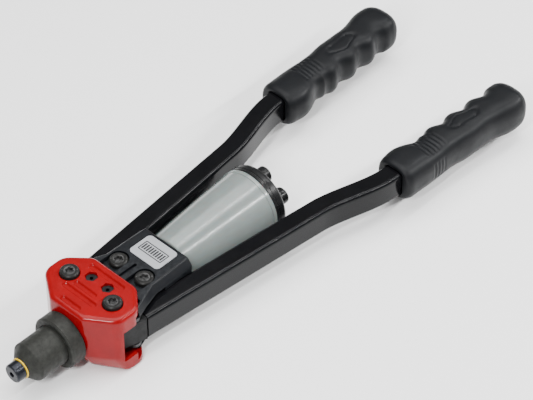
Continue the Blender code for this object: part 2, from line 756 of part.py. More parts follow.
def arm_point(along, across):
    """Point beside the straight front of the arm's line, measured from its start."""
    slope = math.atan(ARM_SLOPE)
    x = ARM_START[0] + along * math.cos(slope) - across * math.sin(slope)
    y = ARM_START[1] + along * math.sin(slope) + across * math.cos(slope)
    return (x, y)


def arm_end(name, side):
    """Forged eye: fulcrum hole, pin lobe and a shank inside the tube."""
    body = f"arm_{name}"
    half = ARM_WIDTH / 2
    outline = hull(circle((0, FULCRUM_Y), EYE_RADIUS) + circle((PIN_X, PIN_Y), LINK_PIN_END_RADIUS)
                   + [arm_point(-GAP, -half), arm_point(-GAP, half)])
    height = ARM_HEIGHT / 2
    eye = flat(f"arm_end_{name}", body, flip(outline, side), -height, height, "black_oxide")
    bevel(eye, EYE_CHAMFER, segments=1)
    inset = ARM_WALL + GAP
    inner = half - inset
    shank_outline = [arm_point(-SHANK_ROOT, -inner), arm_point(SHANK_LENGTH, -inner),
                     arm_point(SHANK_LENGTH, inner), arm_point(-SHANK_ROOT, inner)]
    shank_half = height - inset
    shank = flat(f"arm_shank_{name}", body, flip(shank_outline, side), -shank_half, shank_half)
    bevel(shank, SHANK_CHAMFER, segments=1)
    join(eye, shank)
    bush_hole = BOLT_HOLE + BUSH_WALL + GAP
    cut(eye,
        prism(f"bush_hole_{name}", body, bush_hole, -height - OVERCUT, height + OVERCUT, at=(0, side * FULCRUM_Y)),
        prism(f"pin_hole_{name}", body, PIN_RADIUS + PIN_FIT, -height - OVERCUT, height + OVERCUT,
              at=(PIN_X, side * PIN_Y)))


def arms():
    for name, side in SIDES:
        body = f"arm_{name}"
        arm_end(name, side)
        tube = place(f"arm_tube_{name}", arm_sweep(f"arm_tube_{name}", side), body, "black_paint")
        wall = tube.modifiers.new("wall", "SOLIDIFY")
        wall.thickness = ARM_WALL * MM
        wall.offset = -1.0
        half = ARM_HEIGHT / 2
        turned(f"pivot_bush_{name}", body, [
            (-half, BOLT_HOLE), (-half, BOLT_HOLE + BUSH_WALL), (half, BOLT_HOLE + BUSH_WALL), (half, BOLT_HOLE)],
            "steel", axis="Z", at=(0, side * FULCRUM_Y, 0), ring=True, steps=16)
        prism(f"link_pin_{name}", body, PIN_RADIUS, -LINK_OUTER, LINK_OUTER, "steel", at=(PIN_X, side * PIN_Y))
        grip(name, side)


def link_outline():
    """Left link: round ends and a narrower waist, which passes beside the fulcrum boss."""
    heading = math.atan2(CARRIAGE_BOLT_Y - PIN_Y, CARRIAGE_BOLT_X - PIN_X)
    pin_end = ((PIN_X, PIN_Y), LINK_PIN_END_RADIUS, heading)
    bolt_end = ((CARRIAGE_BOLT_X, CARRIAGE_BOLT_Y), LINK_BOLT_END_RADIUS, heading + math.pi)
    outline = []
    for centre, radius, inward in (pin_end, bolt_end):
        neck = math.asin(LINK_WAIST / 2 / radius)
        for step in range(LINK_END_STEPS + 1):
            turn = inward + neck + 2 * (math.pi - neck) * step / LINK_END_STEPS
            outline.append((centre[0] + radius * math.cos(turn), centre[1] + radius * math.sin(turn)))
    return outline


def links():
    """Flat links above and below each arm; the slot at the pin end runs across the link."""
    for name, side in SIDES:
        body = f"link_{name}"
        outline = link_outline()
        along = (Vector((CARRIAGE_BOLT_X - PIN_X, CARRIAGE_BOLT_Y - PIN_Y))).normalized()
        across = Vector((-along.y, along.x)) * PIN_SLOT_EXTRA
        pin = Vector((PIN_X, PIN_Y))
        slot = slot_outline(tuple(pin - across), tuple(pin + across), PIN_RADIUS + PIN_SLOT_PLAY)
        for layer, up in LAYERS:
            low, high = sorted((up * LINK_INNER, up * LINK_OUTER))
            plate = flat(f"link_{layer}_{name}", body, flip(outline, side), low, high, "steel")
            tag = f"{layer}_{name}"
            cut(plate,
                flat(f"pin_slot_{tag}", body, flip(slot, side), low - OVERCUT, high + OVERCUT),
                prism(f"link_hole_{tag}", body, BOLT_HOLE, low - OVERCUT, high + OVERCUT,
                      at=(CARRIAGE_BOLT_X, side * CARRIAGE_BOLT_Y)))


# ---------------------------------------------------------------- grips

def clamped(value):
    return min(max(value, 0.0), 1.0)


def quarter_round(share):
    """Height of a quarter circle, from 0 at its start to 1."""
    return math.sqrt(max(0.0, 1 - (1 - clamped(share)) ** 2))


def swollen(base, swells, distance):
    """A base size changed by (height, place, width) bell curves along the grip."""
    return base + sum(height * math.exp(-((distance - place) / width) ** 2) for height, place, width in swells)


def grip_section(distance):
    """Inner edge, outer edge and half height at a distance from the grip's front."""
    fingers = 0.5 - 0.5 * math.cos(2 * math.pi * (distance - FINGER_FIRST_CREST) / FINGER_PITCH)
    first_trough = FINGER_FIRST_CREST - FINGER_PITCH / 2
    last_crest = GRIP_LENGTH - FINGER_REAR
    fade = clamped((distance - first_trough) / FINGER_FADE) * clamped((last_crest - distance) / FINGER_FADE)
    inner = swollen(-GRIP_HALF_WIDTH, GRIP_INNER_SWELLS, distance) + 2 * FINGER_DEPTH * fingers * fade
    outer = swollen(GRIP_HALF_WIDTH, GRIP_OUTER_SWELLS, distance)
    height = swollen(GRIP_HALF_HEIGHT, GRIP_HEIGHT_SWELLS, distance)
    front = quarter_round(distance / GRIP_FRONT_ROUNDING)
    rear = quarter_round((GRIP_LENGTH - distance) / GRIP_REAR_ROUNDING)
    round_over = min(GRIP_FRONT_FACE + (1 - GRIP_FRONT_FACE) * front, GRIP_REAR_FACE + (1 - GRIP_REAR_FACE) * rear)
    return inner * round_over, outer * round_over, height * round_over


def grip(name, side):
    """Moulded rubber grip with four finger swells on its inner side and a socket for the tube."""
    sections = []
    for step in range(GRIP_SECTIONS + 1):
        share = step / GRIP_SECTIONS
        eased = share - GRIP_END_CROWDING * math.sin(2 * math.pi * share)
        distance = GRIP_LENGTH * eased
        inner, outer, height = grip_section(distance)
        x = GRIP_START + distance
        axis_y = BEND_END[1] + GRIP_SLOPE * (x - BEND_END[0]) + GRIP_OFFSET
        middle = axis_y + (inner + outer) / 2
        half = (outer - inner) / 2
        ring = []
        for point in range(GRIP_POINTS):
            angle = 2 * math.pi * (point + 0.5) / GRIP_POINTS
            flat_y = math.copysign(abs(math.cos(angle)) ** GRIP_SQUARENESS, math.cos(angle))
            flat_z = math.copysign(abs(math.sin(angle)) ** GRIP_SQUARENESS, math.sin(angle))
            ring.append((x, side * (middle + half * flat_y), height * flat_z))
        sections.append(ring)
    obj = loft(f"grip_{name}", f"arm_{name}", sections, "grip_rubber")
    socket = place(f"grip_socket_{name}", arm_sweep(f"grip_socket_{name}", side, GAP, True, GAP), f"arm_{name}")
    cut(obj, socket)


# ---------------------------------------------------------------- carriage

def carriage_half(layer, up):
    """One casting: top plate with wings, skirt and the spine that grips the tube."""
    low_edge = CARRIAGE_WING + CARRIAGE_LOW_EDGE
    top_edge = CARRIAGE_WING + CARRIAGE_TOP_EDGE
    sections = []
    for edge, height in ((low_edge, GAP / 2), (low_edge, CARRIAGE_INNER + CARRIAGE_CREASE), (top_edge, CARRIAGE_TOP)):
        sections.append([(x, y, up * height) for x, y in mirrored(edge)])
    name = f"carriage_{layer}_half"
    half = loft(name, "carriage", sections, "black_casting")
    tag = f"_{layer}"
    reach = 3 * CARRIAGE_TOP
    clear_side = HOUSING_HALF_WIDTH + 3 * OVERCUT

    def span(low, high):
        return sorted((up * low, up * high))

    low, high = span(-OVERCUT, CARRIAGE_INNER)
    cut(half, block("link_space" + tag, "carriage", (-10, -clear_side, low), (SPINE_FRONT, clear_side, high)))
    low, high = span(-OVERCUT, LINK_INNER + 0.2)
    for name_side, side in SIDES:
        front, rear = SPINE_FRONT - 2, CARRIAGE_REAR + 1
        front_half, rear_half = ARM_CLEARANCE_HALVES
        clear = [(front, front_half), (rear, rear_half), (rear, clear_side), (front, clear_side)]
        cut(half, flat(f"arm_clearance_{layer}_{name_side}", "carriage", flip(clear, side), low, high))
    for name_side, side in SIDES:
        bolt_at = (CARRIAGE_BOLT_X, side * CARRIAGE_BOLT_Y)
        pocket = slot_outline((0, CARRIAGE_BOLT_Y), (CARRIAGE_BOLT_X + 0.4, CARRIAGE_BOLT_Y), POCKET_RADIUS)
        low, high = span(POCKET_FLOOR, reach)
        cut(half, flat(f"pocket_{layer}_{name_side}", "carriage", flip(pocket, side), low, high))
        low, high = span(CARRIAGE_INNER - OVERCUT, reach)
        cut(half, prism(f"bolt_hole_{layer}_{name_side}", "carriage", BOLT_HOLE, low, high, at=bolt_at))
    low, high = span(CARRIAGE_TOP - CENTRE_SLOT_DEPTH, reach)
    cut(half, flat("centre_slot" + tag, "carriage", slot_outline(*CENTRE_SLOT, CENTRE_SLOT_RADIUS), low, high))
    cut(half, turned("tube_channel" + tag, "carriage", tube_channel_profile(), ring=False))
    if up > 0:
        recess = label_outline(2 * GAP)
        cut(half, flat("label_recess", "carriage", recess, CARRIAGE_TOP - LABEL_DEPTH, reach))


def label_outline(margin):
    corner = LABEL_CORNER + margin
    front = LABEL_FRONT - margin
    rear = LABEL_REAR + margin
    half = LABEL_HALF + margin
    return rounded([(front, half, corner), (front, -half, corner), (rear, -half, corner), (rear, half, corner)])


def tube_channel_profile():
    """Channel for the tube, with a groove for its flange and a bore for the bottle's neck."""
    channel = TUBE_REAR_RADIUS + GAP
    groove = FLANGE_RADIUS + GAP
    front = FLANGE_X - FLANGE_THICKNESS / 2 - GAP
    rear = FLANGE_X + FLANGE_THICKNESS / 2 + GAP
    neck = NECK_RADIUS + GAP
    neck_seat = NECK_FRONT - GAP
    start = SPINE_FRONT - OVERCUT
    end = CARRIAGE_REAR + OVERCUT
    return [(start, 0), (start, channel), (front, channel), (front, groove), (rear, groove), (rear, channel),
            (neck_seat, channel), (neck_seat, neck), (end, neck), (end, 0)]


def carriage_hardware():
    for name, side in SIDES:
        at = (CARRIAGE_BOLT_X, side * CARRIAGE_BOLT_Y)
        seat = POCKET_FLOOR + 0.1
        bolt(f"carriage_bolt_{name}", "carriage", at, seat, CARRIAGE_TOP + 0.1 - seat, -CARRIAGE_TOP + 0.4)
        flats = 2 * (POCKET_RADIUS - GAP) * math.cos(math.radians(30))
        nut(f"carriage_nut_{name}", "carriage", at, -CARRIAGE_TOP + 0.2, -seat, flats, BOLT_HOLE)
        half = ARM_HEIGHT / 2
        turned(f"carriage_spacer_{name}", "carriage", [
            (-half, BOLT_HOLE), (-half, BOLT_HOLE + SPACER_WALL), (half, BOLT_HOLE + SPACER_WALL), (half, BOLT_HOLE)],
            "steel", axis="Z", at=(*at, 0), ring=True, steps=16)
    low = CARRIAGE_TOP - LABEL_DEPTH + 0.1
    flat("carriage_label", "carriage", label_outline(0), low, low + LABEL_THICKNESS, "label_alloy")


# ---------------------------------------------------------------- pull tube and jaws

def pull_parts():
    front = FLANGE_X - FLANGE_THICKNESS / 2
    rear = FLANGE_X + FLANGE_THICKNESS / 2
    thread_end = CASE_REAR + LOCK_NUT_LENGTH + 1.5
    turned("pull_tube", "carriage", [
        (TUBE_FRONT, TUBE_BORE), (TUBE_FRONT, TUBE_THREAD_RADIUS), (thread_end, TUBE_THREAD_RADIUS),
        (thread_end, TUBE_FRONT_RADIUS), (TUBE_SHOULDER, TUBE_FRONT_RADIUS),
        (TUBE_SHOULDER + 1.5, TUBE_REAR_RADIUS), (front, TUBE_REAR_RADIUS), (front, FLANGE_RADIUS),
        (rear, FLANGE_RADIUS), (rear, TUBE_REAR_RADIUS), (TUBE_REAR, TUBE_REAR_RADIUS),
        (TUBE_REAR, TUBE_BORE)], "steel", ring=True, steps=16)
    thread = TUBE_THREAD_RADIUS + GAP
    turned("jaw_case", "carriage", [
        (CASE_FRONT, CASE_MOUTH), (CASE_FRONT, CASE_RADIUS - 1.0), (CASE_FRONT + 1.0, CASE_RADIUS),
        (CASE_REAR, CASE_RADIUS), (CASE_REAR, thread), (CASE_CONE_END, thread)], "steel", ring=True)
    nut_low = CASE_REAR + GAP
    nut("lock_nut", "carriage", (0, 0), nut_low, nut_low + LOCK_NUT_LENGTH, LOCK_NUT_FLATS, thread, axis="X")
    spring()


def spring():
    """Jaw spring between the pusher and the tube's front end, along the nose axis."""
    start = pusher_rear() + GAP + SPRING_WIRE / 2
    end = TUBE_FRONT - GAP - SPRING_WIRE / 2
    curve = bpy.data.curves.new("jaw_spring", "CURVE")
    curve.dimensions = "3D"
    curve.bevel_depth = SPRING_WIRE / 2 * MM
    curve.bevel_resolution = 1
    curve.use_fill_caps = True
    spline = curve.splines.new("POLY")
    count = int(SPRING_TURNS * 8)
    spline.points.add(count)
    for step, point in enumerate(spline.points):
        turn = 2 * math.pi * SPRING_TURNS * step / count
        along = start + (end - start) * step / count
        point.co = (along * MM, SPRING_RADIUS * math.cos(turn) * MM, SPRING_RADIUS * math.sin(turn) * MM, 1)
    place("jaw_spring", mesh_from_curve("jaw_spring", curve), "carriage", "steel")


def cone_radius(x):
    """Inner radius of the jaw case's cone at x."""
    share = (x - CASE_FRONT) / (CASE_CONE_END - CASE_FRONT)
    return CASE_MOUTH + (TUBE_THREAD_RADIUS + GAP - CASE_MOUTH) * share


def pusher_rear():
    return CASE_CONE_END + GAP + PUSHER_LENGTH


def jaws():
    """Three wedge jaws in the case's cone and the pusher behind them."""
    front = CASE_FRONT + 0.6
    rear = CASE_CONE_END
    for index in range(3):
        spread = math.radians(JAW_SPAN_DEGREES / 2)
        reach = 2 * CASE_RADIUS
        apex = 0.3
        wedge = [(apex, 0), (apex + reach * math.cos(spread), reach * math.sin(spread)), (apex + reach, 0),
                 (apex + reach * math.cos(spread), -reach * math.sin(spread))]
        jaw = flat(f"jaw_{index + 1}", "jaws", wedge, front - OVERCUT, rear + OVERCUT, "steel")
        jaw.data.transform(Matrix.Rotation(math.radians(90), 4, "Y"))
        jaw.rotation_euler = (2 * math.pi * index / 3, 0, 0)
        cone = turned(f"jaw_cone_{index + 1}", "jaws", [
            (front, JAW_BORE), (front, cone_radius(front) - 0.4), (rear, cone_radius(rear) - 0.4),
            (rear, JAW_BORE)], ring=True)
        combine(jaw, cone, "INTERSECT")
    low = rear + GAP
    turned("jaw_pusher", "jaws", [
        (low, 2.4), (low, TUBE_THREAD_RADIUS - 0.6), (pusher_rear(), TUBE_THREAD_RADIUS - 0.6),
        (pusher_rear(), 2.4)], "steel", ring=True, steps=16)


# ---------------------------------------------------------------- bottle

def collection_bottle():
    front = CARRIAGE_REAR + GAP
    wall = BOTTLE_WALL
    middle = (front + BOTTLE_REAR) / 2
    middle_radius = (BOTTLE_FRONT_RADIUS + BOTTLE_REAR_RADIUS) / 2 + 0.5
    turned("collection_bottle", "carriage", [
        (NECK_FRONT, NECK_RADIUS), (front, NECK_RADIUS), (front, BOTTLE_FRONT_RADIUS - 0.6),
        (front + 0.6, BOTTLE_FRONT_RADIUS), (middle, middle_radius), (BOTTLE_REAR, BOTTLE_REAR_RADIUS),
        (BOTTLE_REAR, BOTTLE_REAR_RADIUS - wall), (middle, middle_radius - wall),
        (front + wall, BOTTLE_FRONT_RADIUS - wall), (front + wall, NECK_RADIUS - wall),
        (NECK_FRONT, NECK_RADIUS - wall)], "bottle_plastic", ring=True, steps=32)


def bottle_cap():
    start = BOTTLE_REAR + GAP
    face = start + CAP_DEPTH
    plug = BOTTLE_REAR_RADIUS - BOTTLE_WALL - GAP
    shoulder = start + CAP_RIM
    rounding = []
    for step in range(5):
        turn = math.pi / 2 * (1 - step / 4)
        rounding.append((shoulder + (face - shoulder) * math.sin(turn),
                         CAP_FACE_RADIUS + CAP_FACE_INSET * math.cos(turn)))
    cap = turned("bottle_cap", "cap", [(face, 0)] + rounding + [
        (start, BOTTLE_REAR_RADIUS), (start, plug), (start - CAP_PLUG, plug - 0.4),
        (start - CAP_PLUG, plug - 0.4 - CAP_WALL), (face - 4.0, CAP_FACE_RADIUS - CAP_WALL),
        (face - CAP_FACE_THICKNESS, 0)], "cap_plastic", steps=32)
    for index in range(LUG_COUNT):
        turn = math.radians(LUG_TURN_DEGREES) + 2 * math.pi * index / LUG_COUNT
        at = (face, LUG_CIRCLE * math.sin(turn), LUG_CIRCLE * math.cos(turn))
        lug = turned(f"cap_lug_{index}", "cap", [
            (LUG_LENGTH, 0), (LUG_LENGTH, LUG_RADIUS - 2.2), (LUG_LENGTH - 0.7, LUG_RADIUS - 0.7),
            (LUG_LENGTH - 2.2, LUG_RADIUS), (-1.2, LUG_RADIUS), (-1.2, 0)], at=at, steps=12)
        join(cap, lug)


def build():
    clear_scene()
    add_collections()
    add_frames()
    head_housing()
    fulcrum_hardware()
    spare_nosepieces()
    nose()
    arms()
    links()
    for layer, up in LAYERS:
        carriage_half(layer, up)
    carriage_hardware()
    pull_parts()
    jaws()
    collection_bottle()
    bottle_cap()


build()
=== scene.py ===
"""Looks of a two-handed lever riveter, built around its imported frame.

Lengths are millimetres in the tool's own frame: X runs from the nose to the grips, Y to the left
arm, Z up, with zero where the nose axis crosses the line of the fulcrum bolts. Bench.deliver turns
each finished mesh into metres in the row frame.
"""
import json
import logging
import math
from dataclasses import dataclass, field
from enum import Enum

import bmesh
import bpy
from mathutils import Matrix, Vector


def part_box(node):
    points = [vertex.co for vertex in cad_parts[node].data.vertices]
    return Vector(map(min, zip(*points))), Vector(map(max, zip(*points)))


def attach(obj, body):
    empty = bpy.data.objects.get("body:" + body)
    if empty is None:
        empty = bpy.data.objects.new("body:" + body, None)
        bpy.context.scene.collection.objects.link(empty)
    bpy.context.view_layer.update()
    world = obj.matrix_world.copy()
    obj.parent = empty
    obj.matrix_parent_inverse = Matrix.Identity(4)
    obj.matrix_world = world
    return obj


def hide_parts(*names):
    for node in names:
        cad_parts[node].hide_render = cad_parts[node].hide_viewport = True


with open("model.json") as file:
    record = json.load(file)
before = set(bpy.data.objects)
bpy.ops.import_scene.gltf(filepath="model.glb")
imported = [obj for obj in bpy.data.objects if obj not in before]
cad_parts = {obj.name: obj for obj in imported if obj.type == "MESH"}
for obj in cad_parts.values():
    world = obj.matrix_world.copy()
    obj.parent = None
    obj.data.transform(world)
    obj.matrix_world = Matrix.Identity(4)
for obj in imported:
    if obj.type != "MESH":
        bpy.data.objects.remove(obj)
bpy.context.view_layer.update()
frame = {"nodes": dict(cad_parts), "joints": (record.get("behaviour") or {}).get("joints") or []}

LOG = logging.getLogger("riveter")
MM = 0.001
POLE = 1e-6       # a ring under this radius is a single point
WEAR_SCALE = 400.0
DUST_COLOUR = (0.36, 0.35, 0.33)
OVERCUT = 5.0     # how far a cut runs past the surface that it opens
OUTSIDE = 45.0    # a distance from the nose axis outside the castings

Solid = bpy.types.Object
Socket = bpy.types.NodeSocket
Tree = bpy.types.NodeTree
Point = tuple[float, float]
Corner = tuple[float, float, float]
Colour = tuple[float, float, float]


class Side(Enum):
    """Left and right arm, with the sign of Y."""
    LEFT = ("left", 1)
    RIGHT = ("right", -1)


class Layer(Enum):
    """Upper and lower half of the linkage, with the sign of Z."""
    UPPER = ("upper", 1)
    LOWER = ("lower", -1)


class Axis(Enum):
    """Axis that a turned piece spins around."""
    NOSE = "X"
    UPRIGHT = "Z"


# ---------------------------------------------------------------- finishes

@dataclass(frozen=True)
class Finish:
    """One finish: its two tones, gloss, fine grain, wear and dust. Sizes are in millimetres."""
    slot: str
    tone: Colour
    shade: Colour
    roughness: float
    spread: float = 0.08
    specular: float = 0.5
    metallic: float = 0.0
    coat: float = 0.0
    grain: float = 0.5
    relief: float = 0.01
    mottle: float = 9.0
    stretch: tuple[float, float, float] = (1.0, 1.0, 1.0)
    speckle: float = 0.0
    wear: float = 0.0
    bare: Colour = (0.42, 0.41, 0.40)
    dust: float = 0.05
    transmission: float = 0.0
    subsurface: float = 0.0


class Coat(Enum):
    """Every finish on the tool."""
    RED_CASTING = Finish("red_paint", (0.23, 0.0008, 0.0028), (0.185, 0.0006, 0.0021), 0.17, 0.01,
                         specular=0.12, coat=0.12, grain=1.6, relief=0.010, mottle=14.0, wear=0.06,
                         bare=(0.55, 0.06, 0.06), dust=0.006)
    NOSE_STEEL = Finish("black_oxide", (0.021, 0.022, 0.019), (0.012, 0.0125, 0.011), 0.54, 0.10,
                        specular=0.2, metallic=0.15, grain=0.35, relief=0.012, mottle=3.0, speckle=0.5,
                        wear=0.3, bare=(0.075, 0.075, 0.068), dust=0.01)
    NOSEPIECE_STEEL = Finish("black_oxide", (0.013, 0.015, 0.021), (0.008, 0.009, 0.013), 0.30, 0.08,
                             specular=0.4, metallic=0.6, grain=0.25, relief=0.006, mottle=4.0, wear=0.4,
                             bare=(0.14, 0.15, 0.17), dust=0.01)
    # Painted shade: a darker copy of the nosepiece steel, for the spare nosepieces down in their holes, where
    # shade falls.
    SPARE_STEEL = Finish("black_oxide", (0.006, 0.0065, 0.008), (0.004, 0.0045, 0.005), 0.38, 0.08,
                         specular=0.3, metallic=0.6, grain=0.25, relief=0.006, mottle=3.0, wear=0.2,
                         bare=(0.06, 0.06, 0.06), dust=0.01)
    BOLT_STEEL = Finish("black_oxide", (0.015, 0.015, 0.014), (0.008, 0.008, 0.008), 0.42, 0.10,
                        specular=0.2, metallic=0.3, grain=0.3, relief=0.008, mottle=3.5, wear=0.6,
                        bare=(0.11, 0.11, 0.11), dust=0.005)
    NUT_STEEL = Finish("black_oxide", (0.032, 0.033, 0.031), (0.018, 0.019, 0.018), 0.46, 0.10,
                       specular=0.4, metallic=0.6, grain=0.4, relief=0.01, mottle=3.0, wear=0.4,
                       bare=(0.16, 0.16, 0.16), dust=0.02)
    FORGED_STEEL = Finish("black_oxide", (0.0065, 0.0068, 0.0072), (0.004, 0.0042, 0.0045), 0.44, 0.10,
                          specular=0.15, metallic=0.05, grain=1.1, relief=0.030, mottle=6.0, speckle=0.1,
                          wear=0.15, bare=(0.05, 0.05, 0.05), dust=0.005)
    YELLOW_RING = Finish("yellow_paint", (0.72, 0.47, 0.008), (0.60, 0.38, 0.008), 0.38, 0.06, specular=0.3,
                         coat=0.1, grain=0.8, relief=0.006, mottle=5.0, wear=0.2, bare=(0.30, 0.24, 0.06),
                         dust=0.01)
    CARRIAGE_CASTING = Finish("black_casting", (0.0044, 0.0052, 0.0070), (0.0030, 0.0035, 0.0047), 0.36,
                              0.06, specular=0.16, metallic=0.05, coat=0.03, grain=0.8, relief=0.022,
                              mottle=7.0, speckle=0.08, wear=0.2, bare=(0.045, 0.05, 0.055), dust=0.008)
    LABEL_PLATE = Finish("label_alloy", (0.42, 0.43, 0.45), (0.31, 0.32, 0.34), 0.36, 0.10, metallic=0.35,
                         grain=0.22, relief=0.006, mottle=5.0, stretch=(1.0, 0.06, 1.0), wear=0.1,
                         dust=0.01)
    LABEL_PRINT = Finish("black_paint", (0.020, 0.021, 0.022), (0.012, 0.013, 0.014), 0.5, 0.08,
                         specular=0.3, grain=0.3, relief=0.003, mottle=2.0, dust=0.0)
    BOTTLE_SHELL = Finish("bottle_plastic", (0.27, 0.305, 0.295), (0.22, 0.255, 0.245), 0.22, 0.03,
                          coat=0.2, grain=6.0, relief=0.002, mottle=40.0, dust=0.0, transmission=0.4,
                          subsurface=0.1)
    CAP_SHELL = Finish("cap_plastic", (0.0060, 0.0063, 0.0068), (0.0042, 0.0044, 0.0048), 0.30, 0.07,
                       specular=0.25, grain=0.7, relief=0.012, mottle=8.0, wear=0.12,
                       bare=(0.045, 0.045, 0.045), dust=0.008)
    ARM_PAINT = Finish("black_paint", (0.0034, 0.0035, 0.0043), (0.0022, 0.0023, 0.0029), 0.15, 0.003,
                       specular=0.1, coat=0.08, grain=3.0, relief=0.0015, mottle=24.0, wear=0.0,
                       bare=(0.04, 0.04, 0.042), dust=0.005)
    GRIP_SKIN = Finish("grip_rubber", (0.0054, 0.0060, 0.0072), (0.0036, 0.0041, 0.0050), 0.46, 0.08,
                       specular=0.16, grain=0.55, relief=0.030, mottle=10.0, wear=0.12,
                       bare=(0.025, 0.027, 0.030), dust=0.006)
    TURNED_STEEL = Finish("steel", (0.44, 0.44, 0.45), (0.33, 0.33, 0.34), 0.30, 0.10, metallic=1.0,
                          grain=0.3, relief=0.008, mottle=4.0, stretch=(1.0, 1.0, 0.08), dust=0.04)
    LINK_STEEL = Finish("steel", (0.055, 0.055, 0.057), (0.032, 0.032, 0.034), 0.40, 0.12, metallic=0.9,
                        grain=0.6, relief=0.014, mottle=5.0, stretch=(0.2, 1.0, 1.0), speckle=0.1,
                        dust=0.01)
    HARD_STEEL = Finish("steel", (0.30, 0.30, 0.31), (0.20, 0.20, 0.21), 0.34, 0.12, metallic=1.0,
                        grain=0.4, relief=0.012, mottle=3.0, stretch=(0.12, 1.0, 1.0), wear=0.3, dust=0.03)


class Nodes:
    """Adds nodes to one tree and joins them."""

    def __init__(self, tree: Tree) -> None:
        """Keep the tree that the nodes go into."""
        self.tree = tree

    def add(self, kind: str, settings: dict | None = None, values: dict | None = None,
            links: dict | None = None) -> bpy.types.Node:
        """Add one node.

        Args:
            kind: The node's type name.
            settings: Properties to set on the node.
            values: Default values by input name or index.
            links: Sockets to join, by input name or index.

        Returns:
            The new node.
        """
        node = self.tree.nodes.new(kind)
        for key, value in (settings or {}).items():
            setattr(node, key, value)
        for key, value in (values or {}).items():
            node.inputs[key].default_value = value
        for key, socket in (links or {}).items():
            self.tree.links.new(socket, node.inputs[key])
        return node

    def math(self, operation: str, first: Socket | float,
             second: Socket | float = 0.0) -> Socket:
        """Add a Math node.

        Args:
            operation: The node's operation.
            first: First operand, a socket or a number.
            second: Second operand, a socket or a number.

        Returns:
            The node's result.
        """
        values = {i: v for i, v in enumerate((first, second)) if isinstance(v, float)}
        links = {i: v for i, v in enumerate((first, second)) if not isinstance(v, float)}
        settings = {"operation": operation, "use_clamp": True}
        return self.add("ShaderNodeMath", settings, values, links).outputs[0]

    def span(self, value: Socket, low: float, high: float, start: float = 0.0,
             end: float = 1.0) -> Socket:
        """Add a Map Range node.

        Args:
            value: The socket to map.
            low: Input that gives start.
            high: Input that gives end.
            start: Lowest result.
            end: Highest result.

        Returns:
            The mapped value.
        """
        values = {"From Min": low, "From Max": high, "To Min": start, "To Max": end}
        return self.add("ShaderNodeMapRange", None, values, {"Value": value}).outputs[0]

    def mix(self, factor: Socket, first: Socket | Colour,
            second: Colour) -> Socket:
        """Add a colour Mix node.

        Args:
            factor: Share of the second colour.
            first: A colour socket or a colour.
            second: A colour.

        Returns:
            The mixed colour.
        """
        node = self.add("ShaderNodeMix", {"data_type": "RGBA"}, None, {0: factor})
        if isinstance(first, tuple):
            node.inputs[6].default_value = (*first, 1.0)
        else:
            self.tree.links.new(first, node.inputs[6])
        node.inputs[7].default_value = (*second, 1.0)
        return node.outputs[2]


